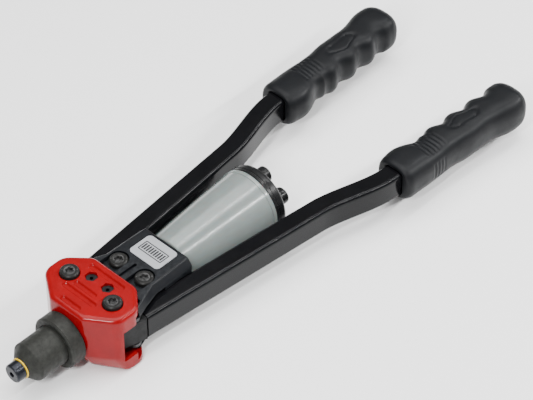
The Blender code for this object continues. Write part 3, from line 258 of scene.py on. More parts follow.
class EffectLibrary:
    """Shader node groups that the finishes share, each built once."""
    MASK_INPUTS = {"Vector": "NodeSocketVector", "Scale": "NodeSocketFloat", "Amount": "NodeSocketFloat"}

    def __init__(self) -> None:
        """Build the four groups."""
        self.grain = self._grain()
        self.speckle = self._speckle()
        self.wear = self._wear()
        self.dust = self._dust()

    @staticmethod
    def _group(name: str, inputs: dict[str, str], outputs: tuple[str, ...]) -> tuple:
        """Start a group.

        Args:
            name: The group's name.
            inputs: Socket types by input name.
            outputs: Names of its outputs, all plain values.

        Returns:
            The tree, its node adder, the input node and the output node.
        """
        tree = bpy.data.node_groups.new(name, "ShaderNodeTree")
        for label, kind in inputs.items():
            tree.interface.new_socket(name=label, in_out="INPUT", socket_type=kind)
        for label in outputs:
            tree.interface.new_socket(name=label, in_out="OUTPUT", socket_type="NodeSocketFloat")
        nodes = Nodes(tree)
        return tree, nodes, nodes.add("NodeGroupInput"), nodes.add("NodeGroupOutput")

    @staticmethod
    def _noise(nodes: Nodes, given: bpy.types.Node, detail: float, roughness: float, scale: str) -> Socket:
        """Noise in a group, scaled by one of the group's inputs."""
        return nodes.add("ShaderNodeTexNoise", None, {"Detail": detail, "Roughness": roughness},
                         {"Vector": given.outputs["Vector"], "Scale": given.outputs[scale]}).outputs[0]

    def _grain(self) -> Tree:
        """Fine surface height and slow change of tone."""
        tree, nodes, given, made = self._group(
            "surface_grain",
            {"Vector": "NodeSocketVector", "Fine": "NodeSocketFloat", "Broad": "NodeSocketFloat"},
            ("Height", "Tone"))
        fine = self._noise(nodes, given, 4.0, 0.6, "Fine")
        broad = self._noise(nodes, given, 3.0, 0.55, "Broad")
        wave = nodes.math("MULTIPLY", broad, 0.5)
        height = nodes.math("ADD", nodes.math("MULTIPLY", fine, 0.5), wave)
        tree.links.new(height, made.inputs["Height"])
        blend = nodes.math("ADD", nodes.math("MULTIPLY", broad, 0.7), nodes.math("MULTIPLY", fine, 0.3))
        tree.links.new(nodes.span(blend, 0.35, 0.65), made.inputs["Tone"])
        return tree

    def _speckle(self) -> Tree:
        """Small light flecks of a blasted or blackened surface."""
        tree, nodes, given, made = self._group(
            "fleck", self.MASK_INPUTS, ("Mask",))
        spots = nodes.add("ShaderNodeTexVoronoi", None, {"Randomness": 1.0},
                          {"Vector": given.outputs["Vector"], "Scale": given.outputs["Scale"]})
        cells = spots.outputs["Distance"]
        patches = self._noise(nodes, given, 2.0, 0.5, "Scale")
        dots = nodes.span(cells, 0.45, 0.10)
        chosen = nodes.span(patches, 0.46, 0.62)
        mask = nodes.math("MULTIPLY", nodes.math("MULTIPLY", dots, chosen), given.outputs["Amount"])
        tree.links.new(mask, made.inputs["Mask"])
        return tree

    def _wear(self) -> Tree:
        """Rubbed edges, broken up by noise."""
        tree, nodes, given, made = self._group(
            "edge_wear", self.MASK_INPUTS, ("Mask",))
        shape = nodes.add("ShaderNodeNewGeometry").outputs["Pointiness"]
        edges = nodes.span(shape, 0.515, 0.60)
        breakup = self._noise(nodes, given, 4.0, 0.65, "Scale")
        worn = nodes.math("MULTIPLY", edges, nodes.span(breakup, 0.38, 0.60))
        tree.links.new(nodes.math("MULTIPLY", worn, given.outputs["Amount"]), made.inputs["Mask"])
        return tree

    def _dust(self) -> Tree:
        """Dust that settles on faces that look up."""
        tree, nodes, given, made = self._group(
            "settled_dust", {"Vector": "NodeSocketVector", "Amount": "NodeSocketFloat"}, ("Mask",))
        normal = nodes.add("ShaderNodeNewGeometry").outputs["Normal"]
        up = nodes.add("ShaderNodeSeparateXYZ", None, None, {0: normal}).outputs["Z"]
        cloud = nodes.add("ShaderNodeTexNoise", None, {"Scale": 70.0, "Detail": 5.0, "Roughness": 0.7},
                          {"Vector": given.outputs["Vector"]}).outputs[0]
        lying = nodes.math("MULTIPLY", nodes.span(up, 0.2, 1.0), nodes.span(cloud, 0.35, 0.75))
        tree.links.new(nodes.math("MULTIPLY", lying, given.outputs["Amount"]), made.inputs["Mask"])
        return tree


class Paintshop:
    """Makes the material of each finish, once."""

    def __init__(self) -> None:
        """Build the shared effects."""
        self.effects = EffectLibrary()
        self.made: dict[Coat, bpy.types.Material] = {}

    def get(self, coat: Coat) -> bpy.types.Material:
        """Material of a finish, built on first use."""
        if coat not in self.made:
            self.made[coat] = self._build(coat.name.lower(), coat.value)
        return self.made[coat]

    def _build(self, name: str, finish: Finish) -> bpy.types.Material:
        """Build a material from a finish.

        Args:
            name: The material's name.
            finish: Its values.

        Returns:
            The material.
        """
        material = bpy.data.materials.new(name)
        material.use_nodes = True
        nodes = Nodes(material.node_tree)
        shader = material.node_tree.nodes["Principled BSDF"]
        place = nodes.add("ShaderNodeTexCoord").outputs["Object"]
        run = nodes.add("ShaderNodeMapping", None, {"Scale": finish.stretch}, {"Vector": place}).outputs[0]
        fine = 1.0 / (finish.grain * MM)
        grain = self._use(nodes, self.effects.grain, {"Fine": fine, "Broad": 1.0 / (finish.mottle * MM)}, run)
        colour = nodes.mix(grain.outputs["Tone"], finish.tone, finish.shade)
        if finish.speckle > 0:
            fleck = self._use(nodes, self.effects.speckle, {"Scale": fine, "Amount": finish.speckle}, place)
            colour = nodes.mix(fleck.outputs["Mask"], colour, finish.bare)
        if finish.wear > 0:
            wear = self._use(nodes, self.effects.wear, {"Scale": WEAR_SCALE, "Amount": finish.wear}, place)
            colour = nodes.mix(wear.outputs["Mask"], colour, finish.bare)
        if finish.dust > 0:
            dust = self._use(nodes, self.effects.dust, {"Amount": finish.dust}, place)
            colour = nodes.mix(dust.outputs["Mask"], colour, DUST_COLOUR)
        gloss = nodes.span(grain.outputs["Tone"], 0.0, 1.0, finish.roughness - finish.spread,
                           finish.roughness + finish.spread)
        bump = nodes.add("ShaderNodeBump", None, {"Strength": 1.0, "Distance": finish.relief * MM},
                         {"Height": grain.outputs["Height"]})
        link = material.node_tree.links.new
        link(colour, shader.inputs["Base Color"])
        link(gloss, shader.inputs["Roughness"])
        link(bump.outputs["Normal"], shader.inputs["Normal"])
        shader.inputs["Metallic"].default_value = finish.metallic
        shader.inputs["Specular IOR Level"].default_value = finish.specular
        shader.inputs["Coat Weight"].default_value = finish.coat
        shader.inputs["Coat Roughness"].default_value = 0.12
        shader.inputs["Transmission Weight"].default_value = finish.transmission
        shader.inputs["Subsurface Weight"].default_value = finish.subsurface
        shader.inputs["Subsurface Scale"].default_value = 0.004
        return material

    @staticmethod
    def _use(nodes: Nodes, group: Tree, values: dict, vector: Socket) -> bpy.types.Node:
        """Place a shared effect in a material, with its own values."""
        return nodes.add("ShaderNodeGroup", {"node_tree": group}, values, {"Vector": vector})


# ---------------------------------------------------------------- outlines

def filleted(corners: list[Corner], steps: int = 6) -> list[Point]:
    """Closed outline with an arc at each corner.

    Args:
        corners: (x, y, radius) of each corner, in order.
        steps: Segments of each arc.

    Returns:
        The outline's points.
    """
    outline: list[Point] = []
    for index, (x, y, radius) in enumerate(corners):
        corner = Vector((x, y))
        if radius == 0:
            outline.append((x, y))
            continue
        before = (Vector(corners[index - 1][:2]) - corner).normalized()
        after = (Vector(corners[(index + 1) % len(corners)][:2]) - corner).normalized()
        half = before.angle(after) / 2
        centre = corner + (before + after).normalized() * radius / math.sin(half)
        start = (corner + before * radius / math.tan(half) - centre).normalized()
        end = (corner + after * radius / math.tan(half) - centre).normalized()
        for step in range(steps + 1):
            outline.append(tuple(centre + start.slerp(end, step / steps) * radius))
    return outline


def mirrored(half: list[tuple]) -> list[tuple]:
    """Close a half outline at y >= 0 with its mirror image."""
    return list(half) + [(c[0], -c[1], *c[2:]) for c in reversed(half) if c[1] > 0]


def flipped(outline: list[Point], sign: int) -> list[Point]:
    """Outline on the left side, or its mirror image on the right."""
    return [(x, sign * y) for x, y in outline]


def rectangle(front: float, rear: float, half: float) -> list[Point]:
    """Corners of a rectangle that is centred across the tool."""
    return [(front, half), (front, -half), (rear, -half), (rear, half)]


def stadium(start: Point, end: Point, radius: float, steps: int = 12) -> list[Point]:
    """Slot outline with round ends.

    Args:
        start: Centre of one end.
        end: Centre of the other end.
        radius: Half the slot's width.
        steps: Segments of each end.

    Returns:
        The outline's points.
    """
    heading = math.atan2(end[1] - start[1], end[0] - start[0])
    outline = []
    for centre, base in ((end, heading - math.pi / 2), (start, heading + math.pi / 2)):
        for step in range(steps + 1):
            turn = base + math.pi * step / steps
            outline.append((centre[0] + radius * math.cos(turn), centre[1] + radius * math.sin(turn)))
    return outline


def disc(radius: float, at: Point = (0.0, 0.0), points: int = 48, lobes: float = 0.0) -> list[Point]:
    """Round outline, or a six-lobed one.

    Args:
        radius: Mean radius.
        at: Centre.
        points: Number of points; six gives a hexagon.
        lobes: Height of the six lobes.

    Returns:
        The outline's points.
    """
    outline = []
    for step in range(points):
        turn = 2 * math.pi * step / points
        reach = radius + lobes * math.cos(6 * turn)
        outline.append((at[0] + reach * math.cos(turn), at[1] + reach * math.sin(turn)))
    return outline


def smooth(low: float, high: float, value: float) -> float:
    """Smooth step from 0 at low to 1 at high."""
    share = min(max((value - low) / (high - low), 0.0), 1.0)
    return share * share * (3 - 2 * share)


def band(low: float, high: float, value: float, ease: float = 0.5) -> float:
    """1 between low and high and 0 beyond, with eased ends."""
    return smooth(low - ease, low + ease, value) * (1 - smooth(high - ease, high + ease, value))


def quarter(share: float) -> float:
    """Height of a quarter circle at a share of its width."""
    return math.sqrt(max(0.0, 1 - (1 - min(share, 1)) ** 2))


def squared_circle(points: int, power: float) -> list[tuple[float, float, float]]:
    """Circle drawn towards a square, as the width, height and angle of each point."""
    made = []
    for point in range(points):
        angle = 2 * math.pi * (point + 0.5) / points
        wide, tall = [math.copysign(abs(share) ** power, share)
                      for share in (math.cos(angle), math.sin(angle))]
        made.append((wide, tall, angle))
    return made


def hump(x: float, centre: float, width: float) -> float:
    """Bell curve of height 1."""
    return math.exp(-((x - centre) / width) ** 2)


def swelling(x: float, humps: tuple) -> float:
    """Sum of several (centre, width, rise) humps."""
    return sum(rise * hump(x, centre, width) for centre, width, rise in humps)


# ---------------------------------------------------------------- bench

class Bench:
    """Makes meshes in the tool's frame and hands finished pieces to the row frame."""

    def __init__(self, joints: list[dict], paints: Paintshop) -> None:
        """Find the tool's zero from the arm's joint.

        Args:
            joints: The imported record's joints.
            paints: Source of materials.
        """
        pivot = next(joint for joint in joints if joint["name"] == "arm_left_swing")["pos_m"]
        self.zero = Vector((pivot[0], 0.0, pivot[2]))
        self.to_row = Matrix.Translation(self.zero) @ Matrix.Scale(MM, 4)
        self.paints = paints

    def extent(self, node: str) -> tuple[Vector, Vector]:
        """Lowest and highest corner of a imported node, in the tool's frame."""
        low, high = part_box(node)
        return (low - self.zero) / MM, (high - self.zero) / MM

    def stand(self, name: str, mesh: bpy.types.Mesh) -> Solid:
        """Put a mesh into the scene."""
        obj = bpy.data.objects.new(name, mesh)
        bpy.context.scene.collection.objects.link(obj)
        return obj

    def skin(self, name: str, rings: list[list[tuple]], wrap: bool = False) -> Solid:
        """Skin over rings of points; a ring of one point is a pole.

        Args:
            name: The object's name.
            rings: Rings of (x, y, z), all of one length apart from poles.
            wrap: Join the last ring to the first instead of capping both.

        Returns:
            The new object.
        """
        bm = bmesh.new()
        loops = [[bm.verts.new(point) for point in ring] for ring in rings]
        pairs = list(zip(loops, loops[1:])) + ([(loops[-1], loops[0])] if wrap else [])
        for ring, following in pairs:
            count = max(len(ring), len(following))
            for index in range(count):
                ahead = (index + 1) % count
                face = []
                for vert in (ring[index % len(ring)], ring[ahead % len(ring)],
                             following[ahead % len(following)], following[index % len(following)]):
                    if vert not in face:
                        face.append(vert)
                bm.faces.new(face)
        if not wrap:
            for ring in (loops[0], loops[-1]):
                if len(ring) > 2:
                    bm.faces.new(ring)
        bmesh.ops.recalc_face_normals(bm, faces=bm.faces)
        mesh = bpy.data.meshes.new(name)
        bm.to_mesh(mesh)
        bm.free()
        return self.stand(name, mesh)

    def lathe(self, name: str, profile: list[Point], axis: Axis = Axis.NOSE, at: tuple = (0, 0, 0),
              steps: int = 96, ring: bool = False) -> Solid:
        """Turn a profile around an axis.

        Args:
            name: The object's name.
            profile: (along, radius) points.
            axis: The axis to turn around.
            at: Where the profile's zero stands.
            steps: Segments around.
            ring: The profile is a closed loop that doesn't touch the axis.

        Returns:
            The new object.
        """
        rings = []
        for along, radius in profile:
            loop = []
            for step in range(1 if radius < POLE else steps):
                turn = 2 * math.pi * step / steps
                across, aside = radius * math.cos(turn), radius * math.sin(turn)
                spot = (along, across, aside) if axis is Axis.NOSE else (across, aside, along)
                loop.append(tuple(Vector(spot) + Vector(at)))
            rings.append(loop)
        return self.skin(name, rings, wrap=ring)

    def slab(self, name: str, outline: list[Point], low: float, high: float) -> Solid:
        """Upright slab with a flat outline."""
        low, high = sorted((low, high))
        return self.skin(name, [[(x, y, z) for x, y in outline] for z in (low, high)])

    def bake(self, obj: Solid) -> Solid:
        """Turn an object's modifiers into plain mesh."""
        ready = obj.evaluated_get(bpy.context.evaluated_depsgraph_get())
        mesh = bpy.data.meshes.new_from_object(ready)
        obj.modifiers.clear()
        obj.data = mesh
        return obj

    def combine(self, obj: Solid, others: list[Solid], join: bool = False) -> Solid:
        """Cut other solids out of an object, or join them to it.

        Args:
            obj: The object to change.
            others: The solids, which are removed afterwards.
            join: Join instead of cutting.

        Returns:
            The changed object.
        """
        for other in others:
            step = obj.modifiers.new(other.name, "BOOLEAN")
            step.operation = "UNION" if join else "DIFFERENCE"
            step.solver = "EXACT"
            step.object = other
        self.bake(obj)
        for other in others:
            bpy.data.objects.remove(other, do_unlink=True)
        return obj

    def soften(self, obj: Solid, width: float, segments: int = 2,
               degrees: float = 35.0) -> Solid:
        """Round an object's sharp edges."""
        edge = obj.modifiers.new("edge", "BEVEL")
        edge.width = width
        edge.segments = segments
        edge.limit_method = "ANGLE"
        edge.angle_limit = math.radians(degrees)
        edge.use_clamp_overlap = True
        return self.bake(obj)

    def deliver(self, obj: Solid, body: str, coat: Coat, nodes: tuple[str, ...] = (),
                sharp: float = 32.0, weighted: bool = True) -> Solid:
        """Finish a piece: shade it, paint it and hang it on its body in the row frame.

        Args:
            obj: The piece, in the tool's frame.
            body: The body it moves with.
            coat: Its finish.
            nodes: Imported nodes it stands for.
            sharp: Angle over which an edge stays sharp, in degrees.
            weighted: Weight the shading by face area, for pieces with large flats.

        Returns:
            The finished piece.
        """
        obj.data.transform(self.to_row)
        obj.data.shade_smooth()
        obj.data.set_sharp_from_angle(angle=math.radians(sharp))
        if weighted:
            shading = obj.modifiers.new("shading", "WEIGHTED_NORMAL")
            shading.keep_sharp = True
            self.bake(obj)
        obj.data.materials.clear()
        obj.data.materials.append(self.paints.get(coat))
        obj.data.name = obj.name
        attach(obj, body)
        if nodes:
            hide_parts(*nodes)
        LOG.info("%s: %d faces, %s, rides on %s", obj.name, len(obj.data.polygons), coat.name.lower(), body)
        return obj


class Repeater:
    """Geometry Nodes trees that repeat a pattern piece along a line or around the nose axis."""

    def __init__(self, bench: Bench) -> None:
        """Build both trees.

        Args:
            bench: Where results are baked.
        """
        self.bench = bench
        self.row = self._tree("pattern_row", {"First": "NodeSocketVector", "Step": "NodeSocketVector"})
        self.wheel = self._tree(
            "pattern_wheel", {name: "NodeSocketFloat" for name in ("Radius", "Start Angle", "Along")})

    def _tree(self, name: str, sizes: dict[str, str]) -> Tree:
        """Build one tree.

        Args:
            name: The tree's name, which says how it repeats.
            sizes: Its own inputs, with their socket types.

        Returns:
            The tree.
        """
        tree = bpy.data.node_groups.new(name, "GeometryNodeTree")
        kinds = {"Pattern": "NodeSocketObject", "Count": "NodeSocketInt",
                 "Finish": "NodeSocketMaterial", **sizes}
        tree.interface.new_socket(name="Geometry", in_out="INPUT", socket_type="NodeSocketGeometry")
        for label, kind in kinds.items():
            tree.interface.new_socket(name=label, in_out="INPUT", socket_type=kind)
        tree.interface.new_socket(name="Geometry", in_out="OUTPUT", socket_type="NodeSocketGeometry")
        nodes = Nodes(tree)
        given = nodes.add("NodeGroupInput").outputs
        points = self._line(nodes, given) if "Step" in sizes else self._circle(nodes, given)
        pattern = nodes.add("GeometryNodeObjectInfo", None, None, {"Object": given["Pattern"]})
        spread = nodes.add("GeometryNodeInstanceOnPoints", None, None,
                           {"Points": points, "Instance": pattern.outputs["Geometry"]})
        real = nodes.add("GeometryNodeRealizeInstances", None, None,
                         {"Geometry": spread.outputs["Instances"]})
        dressed = nodes.add("GeometryNodeSetMaterial", None, None,
                            {"Geometry": real.outputs["Geometry"], "Material": given["Finish"]})
        nodes.add("NodeGroupOutput", None, None, {"Geometry": dressed.outputs["Geometry"]})
        return tree

    @staticmethod
    def _line(nodes: Nodes, given: bpy.types.bpy_prop_collection) -> Socket:
        """Points along a line."""
        line = nodes.add("GeometryNodeMeshLine", {"mode": "OFFSET"}, None,
                         {"Count": given["Count"], "Start Location": given["First"],
                          "Offset": given["Step"]})
        return line.outputs["Mesh"]

    @staticmethod
    def _circle(nodes: Nodes, given: bpy.types.bpy_prop_collection) -> Socket:
        """Points on a circle that faces along the nose axis."""
        circle = nodes.add("GeometryNodeMeshCircle", None, None,
                           {"Vertices": given["Count"], "Radius": given["Radius"]})
        spin = nodes.add("ShaderNodeCombineXYZ", None, None, {"Z": given["Start Angle"]})
        turned = nodes.add("GeometryNodeTransform", None, None,
                           {"Geometry": circle.outputs["Mesh"], "Rotation": spin.outputs[0]})
        place = nodes.add("ShaderNodeCombineXYZ", None, None, {"X": given["Along"]})
        facing = nodes.add("GeometryNodeTransform", None, {"Rotation": (0.0, math.pi / 2, 0.0)},
                           {"Geometry": turned.outputs["Geometry"], "Translation": place.outputs[0]})
        return facing.outputs["Geometry"]

    def run(self, name: str, tree: Tree, pattern: Solid, count: int, coat: Coat,
            **sizes: float | tuple) -> Solid:
        """Repeat a pattern into one plain mesh.

        Args:
            name: The new object's name.
            tree: The row or the wheel.
            pattern: The piece to repeat, which is removed afterwards.
            count: How many.
            coat: Its finish.
            **sizes: The tree's own inputs, with underscores for spaces.

        Returns:
            The new object.
        """
        holder = self.bench.stand(name, bpy.data.meshes.new(name))
        repeat = holder.modifiers.new("repeat", "NODES")
        repeat.node_group = tree
        values = {"Pattern": pattern, "Count": count, "Finish": self.bench.paints.get(coat)}
        values.update({key.replace("_", " "): value for key, value in sizes.items()})
        for item in tree.interface.items_tree:
            if item.in_out == "INPUT" and item.name in values:
                repeat[item.identifier] = values[item.name]
        bpy.context.view_layer.update()
        self.bench.bake(holder)
        bpy.data.objects.remove(pattern, do_unlink=True)
        return holder


# ---------------------------------------------------------------- sub-assemblies

@dataclass
class Layers:
    """Heights across the tool, from the arm outwards."""
    link_inner: float = 10.3
    carriage_inner: float = 13.1
    carriage_top: float = 18.8
    plate_inner: float = 19.4


@dataclass
class Head:
    """Red casting with the nose in front and the fulcrum bolts through it."""
    bench: Bench
    repeater: Repeater
    layers: Layers
    shoulder_front: float = -8.5
    shoulder_rear: float = 7.8
    front_half: float = 14.5
    rear_half: float = 20.0
    front_corner: float = 7.0
    shoulder_corner: float = 10.0
    shoulder_tightening: float = 4.0
    rear_corner: float = 8.0
    edge: float = 3.2
    edge_steps: int = 8
    ease_top: float = -8.0
    front_ease: float = 9.0
    shoulder_ease: float = 0.8
    ease_power: float = 1.3
    rear_swell: float = 2.4
    arm_room_half: float = 23.0
    mouth_half: float = 31.5
    mouth_step: float = 0.8
    carriage_room_half: float = 22.0
    barrel_seat: float = 13.1
    barrel_seat_depth: float = 3.0
    cavity_front: float = -10.5
    mouth_front: float = -4.6
    skirt_rear: float = 6.0
    skirt_wall: float = 2.7
    fulcrum_y: float = 20.0
    bolt_hole: float = 4.2
    boss_radius: float = 5.4
    pocket_radius: float = 7.0
    pocket_depth: float = 2.9
    nut_hole: float = 8.1
    nut_depth: float = 4.4
    spare_at: Point = (7.5, 7.5)
    spare_hole: float = 4.57
    groove_radius: float = 2.2
    groove_foot: float = 0.55
    groove_depth: float = 1.1
    grooves: tuple = ((14.0, -16.0, 16.0), (-3.0, -8.0, 12.5), (-9.0, -14.0, 16.5), (-18.0, -9.0, 9.0))
    head_height: float = 5.4
    nose_hole: float = 4.9
    barrel_cone: float = 6.3
    barrel_bore: float = 10.4
    bore_wall: float = 0.4
    thread_radius: float = 12.8
    collar_gap: float = 0.3
    collar_chamfer: float = 1.2
    shank_radius: float = 4.6
    rivet_hole: float = 1.9

    def build(self) -> None:
        """Build every piece of the head."""
        self.low, self.high = self.bench.extent("head_housing")
        self._casting()
        self._nose()
        self._bolts()

    def _plan(self, height: float, inset: float) -> list[Point]:
        """Outline of the casting at a height.

        Args:
            height: Height above the nose axis.
            inset: How far the edge rounding draws it in.

        Returns:
            The outline's points.
        """
        depth = max(0.0, self.ease_top - height) / (self.ease_top - self.low.z)
        ease = self.front_ease * depth ** self.ease_power
        swell = self.rear_swell * depth
        side = self.high.y - inset
        shoulder = self.shoulder_corner - self.shoulder_tightening * depth
        return filleted(mirrored([
            (self.low.x + ease + inset, self.front_half - inset / 2, self.front_corner),
            (self.shoulder_front + self.shoulder_ease * ease + inset / 2, side, shoulder),
            (self.shoulder_rear + swell - inset / 2, side, shoulder),
            (self.high.x - inset, self.rear_half + swell - inset / 2, self.rear_corner)]), 10)

    def _levels(self) -> list[tuple[float, float]]:
        """Height of each ring of the casting, with how far the edge rounding draws it in."""
        edges = []
        for end, inward in ((self.high.z, -1), (self.low.z, 1)):
            turns = [math.pi / 2 * step / self.edge_steps for step in range(self.edge_steps + 1)]
            edges.append([(end + inward * self.edge * (1 - math.cos(turn)), self.edge * (1 - math.sin(turn)))
                          for turn in turns])
        top, foot = edges
        drop = foot[-1][0] - self.ease_top
        between = [(self.ease_top + drop * step / self.edge_steps, 0.0) for step in range(self.edge_steps)]
        return top + between + foot[::-1]

    def _casting(self) -> None:
        """Rounded casting with its mouth, bores, pockets and gauge grooves."""
        casting = self.bench.skin("head_casting", [[(x, y, z) for x, y in self._plan(z, inset)]
                                                   for z, inset in self._levels()])
        self.bench.combine(casting, self._rooms())
        self.bench.combine(casting, self._bosses(), join=True)
        self.bench.combine(casting, self._seats() + self._grooves())
        self.bench.soften(casting, 0.4, 2, 38.0)
        self.bench.deliver(casting, "head", Coat.RED_CASTING, ("head_housing",))

    def _rooms(self) -> list[Solid]:
        """Cuts that make room for the arms, the carriage and the barrel."""
        inner, plate = self.layers.carriage_inner + 0.1, self.layers.plate_inner
        skirt = self.high.y - self.skirt_wall
        arm_room = mirrored([(self.cavity_front, self.arm_room_half),
                             (self.mouth_front - self.mouth_step, self.mouth_half),
                             (self.mouth_front, OUTSIDE), (OUTSIDE, OUTSIDE)])
        carriage_room = mirrored([(self.cavity_front, self.carriage_room_half), (self.mouth_front, skirt),
                                  (self.skirt_rear, skirt), (self.skirt_rear, OUTSIDE), (OUTSIDE, OUTSIDE)])
        seat, front = self.cavity_front + self.barrel_seat_depth, self.low.x - OVERCUT
        bore = [(seat, 0.0), (seat, self.barrel_seat), (front, self.barrel_seat), (front, 0.0)]
        return [self.bench.slab("arm_room", arm_room, -inner, inner),
                self.bench.slab("carriage_room", carriage_room, -plate, plate),
                self.bench.lathe("barrel_bore", bore)]

    def _bosses(self) -> list[Solid]:
        """Bosses inside both plates, around the fulcrum bolts."""
        foot, root = self.layers.link_inner, self.layers.plate_inner + 2
        return [self.bench.slab("boss", disc(self.boss_radius, (0.0, side.value[1] * self.fulcrum_y)),
                                layer.value[1] * foot, layer.value[1] * root)
                for side in Side for layer in Layer]

    def _seats(self) -> list[Solid]:
        """Cuts for the bolts, their heads and nuts, and the spare nosepieces."""
        below, above = self.low.z - OVERCUT, self.high.z + OVERCUT
        cuts = []
        for side in Side:
            at = (0.0, side.value[1] * self.fulcrum_y)
            spare = (self.spare_at[0], side.value[1] * self.spare_at[1])
            for name, outline, low, high in (
                    ("hole", disc(self.bolt_hole, at), below, above),
                    ("pocket", disc(self.pocket_radius, at, 64), self.high.z - self.pocket_depth, above),
                    ("nut_room", disc(self.nut_hole, at), below, self.low.z + self.nut_depth),
                    ("spare_room", disc(self.spare_hole, spare, 6), self.layers.plate_inner - 2, above)):
                cuts.append(self.bench.slab(name, outline, low, high))
        return cuts

    def _grooves(self) -> list[Solid]:
        """Cuts for the gauge grooves, which narrow towards their floor."""
        cuts = []
        for x, low, high in self.grooves:
            ends = (x, low + self.groove_radius), (x, high - self.groove_radius)
            levels = ((self.groove_foot * self.groove_radius, self.high.z - self.groove_depth),
                      (self.groove_radius, self.high.z), (self.groove_radius, self.high.z + 2))
            cuts.append(self.bench.skin("groove", [[(*point, z) for point in stadium(*ends, radius)]
                                                   for radius, z in levels]))
        return cuts

    def _nose(self) -> None:
        """Barrel, lock collar, size ring and nosepiece."""
        barrel_low, barrel_high = self.bench.extent("nose_barrel")
        collar_low, collar_high = self.bench.extent("barrel_collar")
        ring_low, ring_high = self.bench.extent("nosepiece_size_ring")
        tip_low, tip_high = self.bench.extent("nosepiece")
        hole, radius, rear, thread = self.nose_hole, barrel_high.y, collar_high.x, self.thread_radius
        cone, bore_front = barrel_low.x + self.barrel_cone, tip_high.x + self.bore_wall
        barrel = [(barrel_low.x, ring_high.y, 0.4), (cone, radius, 1.6), (rear, radius, 0.2),
                  (rear, thread, 0.2), (barrel_high.x, thread, 0.6), (barrel_high.x, self.barrel_bore, 0.4),
                  (bore_front, self.barrel_bore, 0.4), (bore_front, hole, 0.2), (barrel_low.x, hole, 0.3)]
        self._ring("barrel", barrel, Coat.NOSE_STEEL, "nose_barrel")
        outer, inner, chamfer = collar_high.y, radius + self.collar_gap, self.collar_chamfer
        collar = [(collar_low.x, inner, 0.3), (collar_low.x, outer - chamfer, 0.5),
                  (collar_low.x + chamfer, outer, 0.5), (rear - 0.5, outer, 0.25), (rear, outer - 0.5, 0.1),
                  (rear, inner, 0.2)]
        self._ring("lock_collar", collar, Coat.NOSE_STEEL, "barrel_collar")
        band = [(ring_low.x, hole, 0.1), (ring_low.x, ring_high.y, 0.25), (ring_high.x, ring_high.y, 0.25),
                (ring_high.x, hole, 0.1)]
        self._ring("size_ring", band, Coat.YELLOW_RING, "nosepiece_size_ring")
        shank, rivet, big = self.shank_radius, self.rivet_hole, tip_high.y
        head_rear = ring_low.x - 0.2
        tip = [(tip_low.x, rivet, 0.3), (tip_low.x, big, 1.5), (head_rear, big, 0.3), (head_rear, shank, 0.2),
               (tip_high.x, shank, 0.3), (tip_high.x, rivet, 0.2)]
        self._ring("nose_tip", tip, Coat.NOSEPIECE_STEEL, "nosepiece")

    def _ring(self, name: str, corners: list[Corner], coat: Coat, node: str) -> None:
        """Turn a filleted ring around the nose axis and deliver it."""
        piece = self.bench.lathe(name, filleted(corners), steps=128, ring=True)
        self.bench.deliver(piece, "head", coat, (node,))

    def _bolts(self) -> None:
        """The two fulcrum bolts."""
        low, high = self.bench.extent("fulcrum_bolt_left")
        pattern = make_bolt(self.bench, high.z, high.z - self.head_height, low.z)
        bolts = self.repeater.run("fulcrum_bolts", self.repeater.row, pattern, 2, Coat.BOLT_STEEL,
                                  First=(0.0, self.fulcrum_y, 0.0), Step=(0.0, -2 * self.fulcrum_y, 0.0))
        self.bench.deliver(bolts, "head", Coat.BOLT_STEEL, ("fulcrum_bolt_left", "fulcrum_bolt_right"))


@dataclass(frozen=True)
class BoltSize:
    """Round socket head and shank of the tool's bolts."""
    head: float = 6.5
    head_chamfer: float = 0.9
    dish: float = 0.35
    dish_floor: float = 3.9
    dish_rim: float = 4.4
    shank: float = 4.0
    tip_chamfer: float = 0.6
    socket: float = 2.75
    socket_lobes: float = 0.42
    socket_depth: float = 2.8


def make_bolt(bench: Bench, top: float, seat: float, tip: float, size: BoltSize = BoltSize()) -> Solid:
    """Bolt with a chamfered round head and a six-lobed socket, on the Z axis.

    Args:
        bench: Where it is made.
        top: Height of the head's top.
        seat: Height of the head's underside.
        tip: Height of the bolt's end.
        size: Its radii, chamfers and depths.

    Returns:
        The bolt.
    """
    corners = [(top - size.dish, 0.0, 0.0), (top - size.dish, size.dish_floor, 0.3),
               (top, size.dish_rim, 0.2), (top, size.head - size.head_chamfer, 0.25), (top - size.head_chamfer, size.head, 0.3),
               (seat, size.head, 0.2), (seat, size.shank, 0.2), (tip + size.tip_chamfer, size.shank, 0.1),
               (tip, size.shank - size.tip_chamfer, 0.1), (tip, 0.0, 0.0)]
    bolt = bench.lathe("bolt", filleted(corners, 4), Axis.UPRIGHT)
    lobed = disc(size.socket, points=72, lobes=size.socket_lobes)
    bench.combine(bolt, [bench.slab("socket", lobed, top - size.socket_depth, top + 2)])
    return bench.soften(bolt, 0.12, 2, 50.0)


